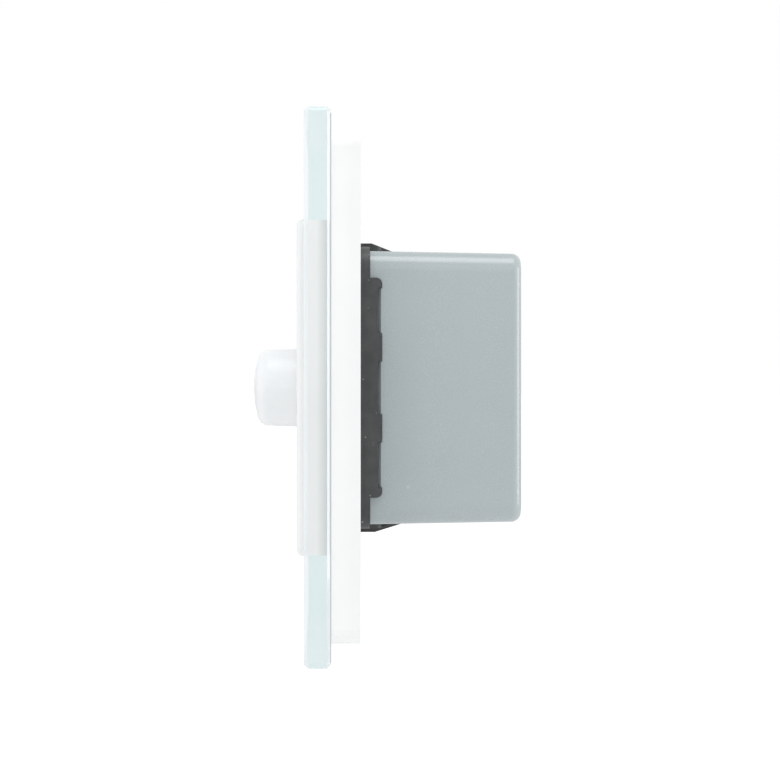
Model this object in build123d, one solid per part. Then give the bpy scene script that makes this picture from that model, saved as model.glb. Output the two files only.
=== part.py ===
from build123d import *
import math
import os

# A square glass-panel motion sensor light switch for a wall box.
# The wall is the plane y = 0. The front faces -Y, the box behind the wall is on +Y, and +Z is up.
# All lengths are in millimetres.

# Counts and angles
pole_names = ["live", "neutral", "load"]
stake_count = 3
sensor_lead_count = 3
quarter_turn = 90.0
half_turn = 180.0
full_turn = 360.0
diagonal_share = math.cos(math.radians(quarter_turn / 2))

# Clearances
cut_overrun = 2.0
short_overrun = 0.5
fuse_overlap = 0.05
running_clearance = 0.05
seat_clearance = 0.05
drop_in_clearance = 0.1
insertion_clearance = 0.2
window_clearance = 0.15

# Front cover of the sensor module
face_lip_overhang = 0.3
face_proud_of_glass = 1.2
face_wall = 1.4
face_skirt_wall = 1.3
face_corner_radius = 1.5
face_edge_radius = 1.0
face_hook_window_width = 8.0
face_hook_window_depth = 1.4
face_hook_window_inset = 0.9

# Glass panel
panel_border = 14.8
glass_thickness = 3.75
glass_corner_radius = 0.9
glass_front_bevel = 0.6
glass_rear_bevel = 0.4
window_edge_bevel = 0.2
window_corner_radius = 1.6

# White film that bonds the glass to its frame
film_thickness = 0.2
film_inset = 0.45

# Clip frame behind the glass
clip_frame_inset = 3.1
clip_frame_corner_radius = 2.2
clip_frame_wall = 1.5
clip_frame_web = 1.2
clip_frame_rim_wall = 1.2
clip_frame_rim_height = 1.3
corner_rib_thickness = 1.2
corner_rib_height = 1.3
pry_slot_width = 8.0
pry_slot_depth = 1.2

# Steel yoke
yoke_thickness = 1.2
yoke_corner_radius = 2.0
yoke_land_margin = 2.5
yoke_land_offset = 0.3
fixing_slot_width = 4.2
fixing_slot_land_margin = 2.0
fixing_slot_edge_margin = 1.3
yoke_lip_length = 12.0
yoke_lip_height = 1.4
yoke_lip_offset = 20.0

# Black chassis of the module
chassis_corner_radius = 3.7
chassis_wall = 1.4
chassis_bore_corner_radius = 8.0
flange_reach = 3.45
flange_thickness = 1.45
upstand_wall = 1.25
upstand_height = 4.0
hook_nub_reach = 1.0
lap_start = 1.0
rim_step = 0.65
rim_reach = 2.8
tab_reach = 0.6
tab_width = 4.2
tab_offset = 6.05
tab_edge_bevel = 0.35
lobe_width = 1.5
lobe_corner_margin = 5.6
lobe_corner_radius = 0.9
corner_relief_reach = 1.6
board_leg_width = 2.5
board_leg_corner_gap = 0.15

# Spring catches that hold the chassis behind the yoke
catch_width = 12.0
catch_side_gap = 0.3
catch_engagement = 1.0
catch_leg_thickness = 0.65
catch_inner_leg_thickness = 0.35
catch_leg_gap = 0.15
catch_pocket_wall = 0.6
catch_flat_reaches = [2.1, 2.6]
catch_apex_reaches = [5.5, 6.9]
catch_crook_length = 1.5
catch_knee_setback = 0.15

# Grey rear housing
housing_corner_radius = 2.9
housing_rear_edge_radius = 1.4
housing_draft = 0.4
housing_wall = 1.5
housing_rear_wall = 1.6
spigot_step = 0.5
rim_bevel = 0.4
post_width = 3.2
screw_window_margin = 0.7

# Motion sensor lens
lens_radius = 6.2
lens_draft = 0.2
lens_height = 7.05
lens_corner_radius = 1.9
lens_crown = 0.5
lens_crown_mid_share = 0.25
lens_wall = 0.7
lens_inner_corner_radius = 1.55
lens_flange_reach = 1.7
lens_flange_thickness = 1.0
lenslet_sphere_radius = 2.6
lenslet_depth = 0.3
lenslet_ring_counts = [1, 6]
lenslet_ring_spacing = 2.3

# Ring that holds the lens against the back of the front cover
retainer_thickness = 1.0
retainer_ear_radius = 1.9
stake_radius = 0.7
stake_head_radius = 1.2
stake_head_thickness = 0.6
stake_gap = 0.25

# Infrared sensor in its round can
can_radius = 4.1
can_height = 3.9
can_wall = 0.3
can_flange_reach = 0.45
can_flange_thickness = 0.4
sensor_window_width = 4.0
sensor_window_height = 3.0
sensor_window_thickness = 0.5
sensor_window_overlap = 0.4
lead_radius = 0.23
lead_circle_radius = 2.54
lead_length = 2.3

# Boards
board_thickness = 1.6
board_corner_radius = 0.8
board_side_gap = 0.375
power_board_front = 5.6
header_pin_width = 0.64
header_pin_spacing = 2.54
header_pin_count = 6
header_body_width = 2.5
header_body_height = 2.5
header_gap = 0.45
header_tail = 0.9
header_seat_depth = 0.4
pin_clearance = 0.05
board_screw_radius = 0.8
board_screw_head_radius = 1.5
board_screw_head_height = 1.0
board_screw_head_edge_radius = 0.5
board_screw_length = 3.3
board_screw_slot_width = 0.4
board_screw_slot_depth = 0.5

# Row of parts below the lens
optic_offset = 4.0
light_guide_radius = 1.5
light_guide_flange_radius = 2.2
light_guide_flange_thickness = 0.8
light_guide_recess = 0.1
light_guide_gap = 0.25
lamp_radius = 1.5
lamp_flange_radius = 1.75
lamp_flange_thickness = 0.4
lamp_dome_radius = 0.75
led_height = 2.0
light_sensor_height = 1.6
trimmer_body_width = 6.0
trimmer_body_height = 6.6
trimmer_edge_margin = 1.55
trimmer_side_margin = 5.85
dial_radius = 2.5
dial_thickness = 1.6
dial_recess = 0.35
dial_stem_radius = 1.2
dial_stem_seat = 1.5
dial_gap = 0.6
dial_hole_clearance = 0.15
dial_slot_width = 0.7
dial_slot_depth = 0.7
dial_mark_width = 0.4
dial_mark_depth = 0.25

# Microcontroller on the sensor board
chip_length = 8.7
chip_width = 3.9
chip_height = 1.5
chip_gap = 0.8
chip_lead_count = 7
chip_lead_spacing = 1.27
chip_lead_width = 0.4
chip_lead_reach = 1.0
chip_lead_thickness = 0.2

# Power parts behind the power board
part_gap = 1.2
part_edge_radius = 0.5
relay_width = 19.0
relay_depth = 15.3
relay_height = 15.3
relay_top_margin = 1.275
relay_rear_gap = 0.3
film_capacitor_width = 13.0
film_capacitor_depth = 12.0
film_capacitor_height = 6.0
film_capacitor_top_margin = 3.775
film_capacitor_side_margin = 0.575
electrolytic_radius = 4.0
electrolytic_depth = 12.5
electrolytic_gap = 1.0
electrolytic_groove_depth = 0.3
electrolytic_groove_width = 0.8
electrolytic_groove_rise = 2.0
choke_depth = 9.0
choke_side_margin = 0.375
choke_side_gap = 0.6
choke_top_gap = 2.3
choke_flange_thickness = 0.8
choke_winding_depth = 0.4
varistor_radius = 3.6
varistor_thickness = 3.2
varistor_side_margin = 0.075
varistor_side_gap = 0.5
varistor_bottom_gap = 0.6
varistor_lead_radius = 0.3
varistor_lead_spacing = 5.0
varistor_lift = 0.8
rectifier_width = 8.0
rectifier_depth = 3.3
rectifier_side_margin = 1.775
rectifier_top_gap = 1.4
rectifier_bottom_gap = 1.3
fuse_radius = 1.6
fuse_length = 7.4
fuse_side_margin = 0.6
fuse_bottom_gap = 1.4
fuse_lead_radius = 0.35
fuse_lead_bend = 0.8
fuse_lift = 0.3

# Screw terminals
pole_spacing = 9.0
block_end_wall = 2.3
block_rear_recess = 0.2
block_top_margin = 0.5
head_recess = 0.3
terminal_head_radius = 1.9
terminal_head_height = 1.4
terminal_head_clearance = 0.15
terminal_shank_radius = 1.45
terminal_seat_thickness = 0.8
terminal_seat_hole_clearance = 0.15
terminal_slot_width = 0.6
terminal_slot_depth = 0.8
terminal_travel = 2.5
cage_width = 6.4
cage_depth = 6.0
cage_side_wall = 0.8
cage_nut_wall = 1.6
cage_floor = 0.9
cage_clearance = 0.1
terminal_axis_from_board = 8.3
contact_side_gap = 0.6
contact_thickness = 0.8
contact_pin_width = 1.2
contact_pin_tail = 0.8
contact_pin_start = 2.0
wire_gap = 2.8
wire_entry_radius = 1.6
wire_funnel_radius = 2.2
wire_funnel_depth = 1.2

# Widths, from the power parts out to the glass
power_parts_start = varistor_side_margin + varistor_thickness + varistor_side_gap
power_parts_end = film_capacitor_width + film_capacitor_side_margin
power_board_width = power_parts_start + relay_width + part_gap + power_parts_end
housing_front_width = power_board_width + 2 * (board_side_gap + housing_wall)
housing_rear_width = housing_front_width - 2 * housing_draft
spigot_width = housing_front_width - 2 * spigot_step
chassis_body_width = housing_front_width + 2 * rim_step
face_body_width = chassis_body_width + 2 * flange_reach
face_lip_width = face_body_width + 2 * face_lip_overhang
window_width = face_lip_width + 2 * window_clearance
panel_width = window_width + 2 * panel_border
film_width = panel_width - 2 * film_inset
clip_frame_width = panel_width - 2 * clip_frame_inset
clip_frame_inner_width = clip_frame_width - 2 * clip_frame_wall
clip_frame_rim_width = window_width + 2 * clip_frame_rim_wall
yoke_width = clip_frame_inner_width - 2 * drop_in_clearance
yoke_opening = chassis_body_width + 2 * insertion_clearance
yoke_land_width = yoke_opening + 2 * yoke_land_margin
fixing_slot_start = yoke_land_width / 2 + fixing_slot_land_margin
fixing_slot_end = yoke_width / 2 - fixing_slot_edge_margin
face_skirt_inner_width = face_body_width - 2 * face_skirt_wall
upstand_width = face_skirt_inner_width - 2 * window_clearance
upstand_inner_width = upstand_width - 2 * upstand_wall
sensor_board_width = upstand_inner_width - 2 * insertion_clearance
chassis_inner_width = chassis_body_width - 2 * chassis_wall
lap_inner_width = spigot_width + 2 * drop_in_clearance
lobe_offset = chassis_body_width / 2 - lobe_corner_margin
rear_inner_half = housing_rear_width / 2 - housing_wall
front_inner_half = housing_front_width / 2 - housing_wall

# Levels along Y, from the wall plane to the front
land_front = -(yoke_land_offset + yoke_thickness)
clip_frame_depth = clip_frame_web + clip_frame_rim_height + insertion_clearance - land_front
film_front = -(clip_frame_depth + film_thickness)
glass_front = film_front - glass_thickness
face_front = glass_front - face_proud_of_glass
face_inner = face_front + face_wall
flange_rear = land_front - seat_clearance
flange_front = flange_rear - flange_thickness
upstand_front = flange_front - upstand_height
face_skirt_rear = flange_front - seat_clearance
sensor_board_rear = flange_front
sensor_board_front = sensor_board_rear - board_thickness
retainer_front = face_inner + lens_flange_thickness
retainer_rear = retainer_front + retainer_thickness
trimmer_body_front = face_front + dial_recess + dial_thickness + dial_gap
light_guide_rear = sensor_board_front - led_height - light_guide_gap

# Levels along Y, from the wall plane to the rear
power_board_rear = power_board_front + board_thickness
housing_rear_face = power_board_rear + relay_depth + relay_rear_gap + housing_rear_wall

# Places on the sensor board
lens_front_radius = lens_radius - lens_draft
lens_flange_radius = lens_radius + lens_flange_reach
stake_circle = lens_flange_radius + stake_gap + stake_radius
lower_row_drop = sensor_board_width / 2 - trimmer_edge_margin - trimmer_body_height / 2
trimmer_offset = sensor_board_width / 2 - trimmer_side_margin - trimmer_body_width / 2
chip_rise = stake_circle + retainer_ear_radius + chip_gap + chip_lead_reach + chip_width / 2
lowest_lead = lead_circle_radius * math.cos(math.radians(half_turn / sensor_lead_count))
header_drop = lowest_lead + lead_radius + header_gap + header_body_width / 2

# Diagonal place of the board screws, midway in the corner of the chassis
bore_corner_reach = chassis_inner_width / 2 - chassis_bore_corner_radius * (1 - diagonal_share)
body_corner_reach = chassis_body_width / 2 - chassis_corner_radius * (1 - diagonal_share)
board_screw_offset = (bore_corner_reach + body_corner_reach) / 2

# Levels of the screw terminals along Z, from the bottom wall up
block_bottom = -(rear_inner_half - seat_clearance)
head_top = block_bottom + head_recess + terminal_head_height
terminal_seat_top = head_top + terminal_seat_thickness
cage_bottom = terminal_seat_top + cage_clearance + terminal_travel
cage_window_bottom = cage_bottom + cage_nut_wall
contact_bottom = cage_window_bottom + cage_clearance
contact_top = contact_bottom + contact_thickness
cage_window_top = contact_top + wire_gap
cage_top = cage_window_top + cage_floor
block_top = cage_top + block_top_margin
wire_height = (contact_top + cage_window_top) / 2
contact_width = cage_width - 2 * (cage_side_wall + contact_side_gap)
chamber_width = cage_width + 2 * cage_clearance
chamber_depth = cage_depth + 2 * cage_clearance
block_half_width = (len(pole_names) - 1) / 2 * pole_spacing + chamber_width / 2 + block_end_wall
block_front = power_board_rear
block_rear = housing_rear_face - block_rear_recess
terminal_axis = power_board_rear + terminal_axis_from_board
chamber_front = terminal_axis - chamber_depth / 2
chamber_rear = terminal_axis + chamber_depth / 2

# Places of the power parts on their board
board_half = power_board_width / 2
relay_left = -board_half + power_parts_start
relay_right = relay_left + relay_width
relay_top = board_half - relay_top_margin
relay_bottom = relay_top - relay_height
film_capacitor_left = relay_right + part_gap
film_capacitor_right = film_capacitor_left + film_capacitor_width
film_capacitor_top = board_half - film_capacitor_top_margin
film_capacitor_bottom = film_capacitor_top - film_capacitor_height
electrolytic_x = relay_right + part_gap + electrolytic_radius
electrolytic_z = film_capacitor_bottom - electrolytic_gap - electrolytic_radius
choke_left = electrolytic_x + electrolytic_radius + choke_side_gap
choke_radius = (board_half - choke_side_margin - choke_left) / 2
choke_x = choke_left + choke_radius
choke_z = film_capacitor_bottom - choke_top_gap - choke_radius
rectifier_left = -board_half + rectifier_side_margin
rectifier_top = relay_bottom - rectifier_top_gap
rectifier_bottom = block_top + rectifier_bottom_gap
varistor_x = -board_half + varistor_side_margin + varistor_thickness / 2
varistor_z = rectifier_top + varistor_bottom_gap + varistor_radius
fuse_x = board_half - fuse_side_margin - 2 * fuse_lead_bend - fuse_length / 2
fuse_z = block_top + fuse_bottom_gap + fuse_radius


def wall_plane(y):
    """A sketch plane parallel to the wall: its x is X, its y is Z, and it extrudes to the front."""
    return Plane(origin=(0, y, 0), x_dir=(1, 0, 0), z_dir=(0, -1, 0))


def slab(sketch, front, rear):
    """A sketch made solid between two levels along Y."""
    return extrude(wall_plane(rear) * sketch, amount=rear - front)


def square(width, radius):
    """A square with rounded corners."""
    return RectangleRounded(width, width, radius)


def block(low, high):
    """A box between two opposite corners."""
    size = [b - a for a, b in zip(low, high)]
    middle = [(a + b) / 2 for a, b in zip(low, high)]
    return Pos(*middle) * Box(*size)


def rod(radius, front, rear, x=0, z=0):
    """A round bar along Y."""
    return slab(Pos(x, z) * Circle(radius), front, rear)


def upright(radius, bottom, top, x, y):
    """A round bar along Z."""
    return Pos(x, y, (bottom + top) / 2) * Cylinder(radius, top - bottom)


def turned(shape, angle):
    """A shape turned about the Y axis."""
    return Rot(0, angle, 0) * shape


def on_four_sides(shape):
    """A shape on all four sides of the square."""
    return [turned(shape, quarter_turn * k) for k in range(4)]


def on_opposite_sides(shape):
    """A shape on its own side of the square and on the opposite one."""
    return [shape, turned(shape, half_turn)]


def four_corners(offset):
    """The four places that lie alike in the corners."""
    return [(x, z) for x in (-offset, offset) for z in (-offset, offset)]


def circle_places(radius, count, first_angle):
    """Places spaced evenly on a circle in X and Z, from an angle in degrees."""
    places = []
    for k in range(count):
        angle = math.radians(first_angle + full_turn * k / count)
        places.append((radius * math.cos(angle), radius * math.sin(angle)))
    return places


def pole_places():
    """The X place of each pole by its name."""
    middle = (len(pole_names) - 1) / 2
    return {name: (k - middle) * pole_spacing for k, name in enumerate(pole_names)}


def housing_half_width(y):
    """Half the outer width of the drafted rear housing at a level along Y."""
    share = (y - lap_start) / (housing_rear_face - lap_start)
    return (housing_front_width + (housing_rear_width - housing_front_width) * share) / 2


# Glass panel
def make_glass_panel():
    glass = slab(square(panel_width, glass_corner_radius), glass_front, film_front)
    glass = chamfer(glass.faces().sort_by(Axis.Y)[0].edges(), glass_front_bevel)
    glass = chamfer(glass.faces().sort_by(Axis.Y)[-1].edges(), glass_rear_bevel)
    opening = square(window_width, window_corner_radius)
    glass -= slab(opening, glass_front - cut_overrun, film_front + cut_overrun)
    front_edges = glass.faces().sort_by(Axis.Y)[0].inner_wires()[0].edges()
    return chamfer(front_edges, window_edge_bevel)


def make_backing_film():
    outline = square(film_width, glass_corner_radius) - square(window_width, window_corner_radius)
    return slab(outline, film_front, -clip_frame_depth)


def make_clip_frame():
    web_rear = clip_frame_web - clip_frame_depth
    frame = slab(square(clip_frame_width, clip_frame_corner_radius), -clip_frame_depth, 0)
    hollow_radius = clip_frame_corner_radius - clip_frame_wall
    frame -= slab(square(clip_frame_inner_width, hollow_radius), web_rear, cut_overrun)
    rim_radius = window_corner_radius + clip_frame_rim_wall
    frame += slab(square(clip_frame_rim_width, rim_radius), web_rear, web_rear + clip_frame_rim_height)
    rib_start = clip_frame_rim_width / 2 - rim_radius * (1 - diagonal_share) - clip_frame_rim_wall / 2
    rib_end = clip_frame_inner_width / 2 + clip_frame_wall / 2 - clip_frame_corner_radius / 2
    for k in range(4):
        angle = quarter_turn * k
        rib_length = (rib_end - rib_start) / diagonal_share
        rib_middle = (rib_end + rib_start) / 2 / diagonal_share
        rib = Pos(rib_middle, web_rear + corner_rib_height / 2, 0)
        rib *= Box(rib_length, corner_rib_height, corner_rib_thickness)
        frame += turned(rib, angle + quarter_turn / 2)
    opening = square(window_width, window_corner_radius)
    frame -= slab(opening, -clip_frame_depth - cut_overrun, cut_overrun)
    half = clip_frame_width / 2
    frame -= block(
        (-pry_slot_width / 2, -pry_slot_depth, -half - cut_overrun),
        (pry_slot_width / 2, cut_overrun, -half + clip_frame_wall + cut_overrun),
    )
    return frame


# Steel yoke
def make_yoke():
    land_radius = chassis_corner_radius + insertion_clearance
    plate = slab(square(yoke_width, yoke_corner_radius), -yoke_thickness, 0)
    plate -= slab(square(yoke_land_width, land_radius), -yoke_thickness - cut_overrun, cut_overrun)
    plate += slab(square(yoke_land_width, land_radius), land_front, -yoke_land_offset)
    plate -= slab(square(yoke_opening, land_radius), land_front - cut_overrun, cut_overrun)
    slot = SlotOverall(fixing_slot_end - fixing_slot_start, fixing_slot_width)
    slot_middle = (fixing_slot_start + fixing_slot_end) / 2
    for hole in on_four_sides(slab(Pos(slot_middle, 0) * slot, land_front - cut_overrun, cut_overrun)):
        plate -= hole
    half = yoke_width / 2
    for side in (-1, 1):
        middle = side * yoke_lip_offset
        lip = block(
            (half - yoke_thickness, -yoke_thickness - yoke_lip_height, middle - yoke_lip_length / 2),
            (half, 0, middle + yoke_lip_length / 2),
        )
        for copy in on_four_sides(lip):
            plate += copy
    return plate


# Black chassis
def make_snap_catch(flat_reach, apex_reach):
    """A folded spring leg: a thin inner leg runs to the rear and the outer leg comes back."""
    outer = yoke_opening / 2 + catch_engagement
    inner = outer - catch_leg_thickness
    leg_bottom = housing_front_width / 2 + catch_leg_gap
    leg_top = leg_bottom + catch_inner_leg_thickness
    tip = seat_clearance - yoke_land_offset
    root = rim_reach - insertion_clearance
    points = [
        (tip, outer),
        (flat_reach, outer),
        (apex_reach, leg_top),
        (apex_reach, leg_bottom),
        (root, leg_bottom),
        (root, leg_top),
        (apex_reach - catch_crook_length, leg_top),
        (flat_reach - catch_knee_setback, inner),
        (tip, inner),
    ]
    outline = make_face(Polyline(*points, close=True))
    return extrude(Plane.YZ * outline, amount=catch_width / 2, both=True)


def make_catch_pocket():
    """The space that the outer leg of a catch is pressed into."""
    half = catch_width / 2 + catch_side_gap
    body_half = chassis_body_width / 2
    floor = body_half - chassis_wall + catch_pocket_wall
    leg_top = housing_front_width / 2 + catch_leg_gap + catch_inner_leg_thickness
    deep = block((-half, -yoke_land_offset, floor), (half, lap_start, body_half + cut_overrun))
    shallow = block((-half, 0, leg_top), (half, rim_reach + cut_overrun, body_half + cut_overrun))
    return deep + shallow


def make_rim_tab():
    """A square tab of the castellated rim, on the +X side."""
    low = lap_inner_width / 2
    tab = slab(
        Pos((low + chassis_body_width / 2) / 2, 0)
        * Rectangle(chassis_body_width / 2 - low, tab_width),
        rim_reach - fuse_overlap,
        rim_reach + tab_reach,
    )
    rear = tab.faces().sort_by(Axis.Y)[-1]
    return chamfer(rear.edges().filter_by(Axis.X), tab_edge_bevel)


def make_rim_lobes(inner, outer, front, gap):
    """Two lobes of the castellated rim on the +X side, each rounded towards the corner of the square."""
    half = lobe_width / 2 + gap
    rear = rim_reach + tab_reach + gap
    lobe = block((inner, front, lobe_offset - half), (outer, rear, lobe_offset + half))
    rear_edges = lobe.faces().sort_by(Axis.Y)[-1].edges().filter_by(Axis.X)
    lobe = fillet(rear_edges.sort_by(Axis.Z)[-1], lobe_corner_radius + gap)
    return [lobe, mirror(lobe, about=Plane.XY)]


def make_chassis():
    body_half = chassis_body_width / 2
    shell = slab(square(face_body_width, face_corner_radius), flange_front, flange_rear)
    shell += slab(square(upstand_width, face_corner_radius), upstand_front, flange_front)
    shell += slab(square(chassis_body_width, chassis_corner_radius), flange_rear, rim_reach)
    shell -= slab(square(upstand_inner_width, face_corner_radius), upstand_front - cut_overrun, flange_front)
    bore = square(chassis_inner_width, chassis_bore_corner_radius)
    shell -= slab(bore, flange_front - cut_overrun, lap_start + cut_overrun)
    lap_radius = housing_corner_radius - spigot_step + drop_in_clearance
    shell -= slab(square(lap_inner_width, lap_radius), lap_start, rim_reach + cut_overrun)
    relief = block(
        (lobe_offset, corner_relief_reach, lobe_offset),
        (body_half + cut_overrun, rim_reach + cut_overrun, body_half + cut_overrun),
    )
    for copy in on_four_sides(relief):
        shell -= copy
    leg_end = front_inner_half - housing_corner_radius * (1 - diagonal_share) + board_leg_corner_gap
    leg = block(
        (leg_end - board_leg_width, flange_rear, leg_end - board_leg_width),
        (leg_end, power_board_front - seat_clearance, leg_end),
    )
    for copy in on_four_sides(leg):
        shell += copy
    nub_rear = face_skirt_rear - face_hook_window_inset - drop_in_clearance
    nub_front = nub_rear - face_hook_window_depth + 2 * drop_in_clearance
    nub_half = face_hook_window_width / 2 - drop_in_clearance
    nub_points = [
        (nub_rear, upstand_width / 2 - upstand_wall / 2),
        (nub_rear, upstand_width / 2 + hook_nub_reach),
        (nub_front, upstand_width / 2 + window_clearance),
        (nub_front, upstand_width / 2 - upstand_wall / 2),
    ]
    nub = extrude(Plane.YZ * make_face(Polyline(*nub_points, close=True)), amount=nub_half, both=True)
    for copy in on_opposite_sides(nub):
        shell += copy
    for side in (-1, 1):
        for copy in on_opposite_sides(Pos(0, 0, side * tab_offset) * make_rim_tab()):
            shell += copy
    for lobe in make_rim_lobes(lap_inner_width / 2, body_half, corner_relief_reach - fuse_overlap, 0):
        for copy in on_four_sides(lobe):
            shell += copy
    for angle, flat_reach, apex_reach in zip((0, half_turn), catch_flat_reaches, catch_apex_reaches):
        shell -= turned(make_catch_pocket(), angle)
        shell += turned(make_snap_catch(flat_reach, apex_reach), angle)
    hole_radius = board_screw_radius + running_clearance
    for x, z in four_corners(board_screw_offset):
        hole_end = sensor_board_rear + board_screw_length + running_clearance
        shell -= rod(hole_radius, flange_front - cut_overrun, hole_end, x, z)
    return shell


# Front cover
def make_face_plate():
    cover = slab(square(face_lip_width, face_corner_radius), face_front, face_inner)
    cover = fillet(cover.faces().sort_by(Axis.Y)[0].edges(), face_edge_radius)
    cover += slab(square(face_body_width, face_corner_radius), face_inner, face_skirt_rear)
    cavity_radius = face_corner_radius - face_skirt_wall + window_clearance
    cover -= slab(square(face_skirt_inner_width, cavity_radius), face_inner, face_skirt_rear + cut_overrun)
    for x, z in stake_places():
        cover += rod(stake_radius, face_inner, retainer_rear, x, z)
        cover += rod(stake_head_radius, retainer_rear, retainer_rear + stake_head_thickness, x, z)
    through_front = face_front - cut_overrun
    through_rear = face_inner + short_overrun
    cover -= rod(lens_radius + drop_in_clearance, through_front, through_rear)
    for side in (-1, 1):
        dial_hole = dial_radius + dial_hole_clearance
        cover -= rod(dial_hole, through_front, through_rear, side * trimmer_offset, -lower_row_drop)
        guide_hole = light_guide_radius + running_clearance
        cover -= rod(guide_hole, through_front, through_rear, side * optic_offset, -lower_row_drop)
    window_rear = face_skirt_rear - face_hook_window_inset
    opening = block(
        (-face_hook_window_width / 2, window_rear - face_hook_window_depth, upstand_width / 2),
        (face_hook_window_width / 2, window_rear, face_body_width / 2 + cut_overrun),
    )
    for copy in on_opposite_sides(opening):
        cover -= copy
    return cover


# Lens and its retainer
def lens_outline(base_radius, front_radius, front, base, corner_radius, crown):
    """Half the section of a crowned, drafted cap, closed along its axis."""
    edge = front_radius - corner_radius
    shoulder = front + crown
    centre = (edge, shoulder + corner_radius)
    knee = (centre[0] + corner_radius * diagonal_share, centre[1] - corner_radius * diagonal_share)
    curves = [
        ThreePointArc((0, front), (edge / 2, front + crown * lens_crown_mid_share), (edge, shoulder)),
        ThreePointArc((edge, shoulder), knee, (front_radius, centre[1])),
        Line((front_radius, centre[1]), (base_radius, base)),
        Line((base_radius, base), (0, base)),
        Line((0, base), (0, front)),
    ]
    return make_face(Curve() + curves)


def make_lenslets(inner_front):
    """Shallow round facets inside the crown: one in the middle and a ring of six."""
    facets = []
    y = inner_front - lenslet_depth + lenslet_sphere_radius
    for ring, count in enumerate(lenslet_ring_counts):
        for x, z in circle_places(ring * lenslet_ring_spacing, count, 0):
            facets.append(Pos(x, y, z) * Sphere(lenslet_sphere_radius))
    return facets


def make_lens():
    front = face_front - lens_height
    flange_rear_level = face_inner + lens_flange_thickness
    cap = revolve(
        lens_outline(lens_radius, lens_front_radius, front, face_inner, lens_corner_radius, lens_crown),
        Axis.Y,
    )
    cap += rod(lens_flange_radius, face_inner, flange_rear_level)
    inner_front = front + lens_wall
    cavity = lens_outline(
        lens_radius - lens_wall,
        lens_front_radius - lens_wall,
        inner_front,
        flange_rear_level,
        lens_inner_corner_radius,
        lens_crown,
    )
    cap -= revolve(cavity, Axis.Y)
    reach = block(
        (-lens_radius, inner_front - lenslet_depth - cut_overrun, -lens_radius),
        (lens_radius, inner_front + lens_crown, lens_radius),
    )
    for facet in make_lenslets(inner_front):
        cap -= facet & reach
    return cap


def stake_places():
    """Places of the stakes around the lens."""
    return circle_places(stake_circle, stake_count, quarter_turn)


def make_lens_retainer():
    ring = rod(lens_flange_radius, retainer_front, retainer_rear)
    for x, z in stake_places():
        ring += rod(retainer_ear_radius, retainer_front, retainer_rear, x, z)
    ring -= rod(lens_radius - lens_wall, retainer_front - cut_overrun, retainer_rear + cut_overrun)
    for x, z in stake_places():
        hole = stake_radius + running_clearance
        ring -= rod(hole, retainer_front - cut_overrun, retainer_rear + cut_overrun, x, z)
    return ring


# Infrared sensor
def make_sensor_can():
    flange_front_level = sensor_board_front - can_flange_thickness
    front = flange_front_level - can_height
    can = rod(can_radius + can_flange_reach, flange_front_level, sensor_board_front)
    can += rod(can_radius, front, flange_front_level)
    can -= rod(can_radius - can_wall, front + can_wall, sensor_board_front + cut_overrun)
    opening = Rectangle(sensor_window_width, sensor_window_height)
    return can - slab(opening, front - cut_overrun, front + can_wall + short_overrun)


def make_sensor_window():
    front = sensor_board_front - can_flange_thickness - can_height + can_wall
    width = sensor_window_width + 2 * sensor_window_overlap
    height = sensor_window_height + 2 * sensor_window_overlap
    return slab(Rectangle(width, height), front, front + sensor_window_thickness)


def lead_places():
    """Places of the sensor's leads."""
    return circle_places(lead_circle_radius, sensor_lead_count, quarter_turn)


def make_sensor_header():
    front = sensor_board_front - can_flange_thickness
    base = rod(can_radius - can_wall - running_clearance, front, sensor_board_front)
    for x, z in lead_places():
        base += rod(lead_radius, sensor_board_front, sensor_board_front + lead_length, x, z)
    return base


# Parts that show through the front cover
def make_light_guide(x):
    front = face_front + light_guide_recess
    guide = rod(light_guide_radius, front, light_guide_rear, x, -lower_row_drop)
    flange_rear_level = face_inner + light_guide_flange_thickness
    guide += rod(light_guide_flange_radius, face_inner, flange_rear_level, x, -lower_row_drop)
    return guide


def make_lamp(x, height):
    """A small round clear part with a flange and a domed top."""
    flange_level = sensor_board_front - lamp_flange_thickness
    tip = sensor_board_front - height
    lamp = rod(lamp_flange_radius, flange_level, sensor_board_front, x, -lower_row_drop)
    barrel = rod(lamp_radius, tip, flange_level, x, -lower_row_drop)
    lamp += fillet(barrel.faces().sort_by(Axis.Y)[0].edges(), lamp_dome_radius)
    return lamp


def make_trimmer_body(x):
    front = trimmer_body_front
    outline = Pos(x, -lower_row_drop) * Rectangle(trimmer_body_width, trimmer_body_height)
    body = slab(outline, front, sensor_board_front)
    hole = dial_stem_radius + running_clearance
    return body - rod(hole, front - cut_overrun, front + dial_stem_seat + seat_clearance, x, -lower_row_drop)


def make_trimmer_dial(x):
    front = face_front + dial_recess
    dial = rod(dial_radius, front, front + dial_thickness, x, -lower_row_drop)
    stem_rear = trimmer_body_front + dial_stem_seat
    dial += rod(dial_stem_radius, front + dial_thickness, stem_rear, x, -lower_row_drop)
    slot = block(
        (x - dial_radius - cut_overrun, front - cut_overrun, -lower_row_drop - dial_slot_width / 2),
        (x + dial_radius + cut_overrun, front + dial_slot_depth, -lower_row_drop + dial_slot_width / 2),
    )
    mark = block(
        (x - dial_mark_width / 2, front - cut_overrun, -lower_row_drop),
        (x + dial_mark_width / 2, front + dial_mark_depth, -lower_row_drop + dial_radius + cut_overrun),
    )
    return dial - slot - mark


# Boards and what joins them
def header_places():
    """Places of the header pins."""
    middle = (header_pin_count - 1) / 2
    return [((k - middle) * header_pin_spacing, -header_drop) for k in range(header_pin_count)]


def header_holes(front, rear):
    """The square holes that the header pins pass."""
    width = header_pin_width + 2 * pin_clearance
    return [slab(Pos(x, z) * Rectangle(width, width), front, rear) for x, z in header_places()]


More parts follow.
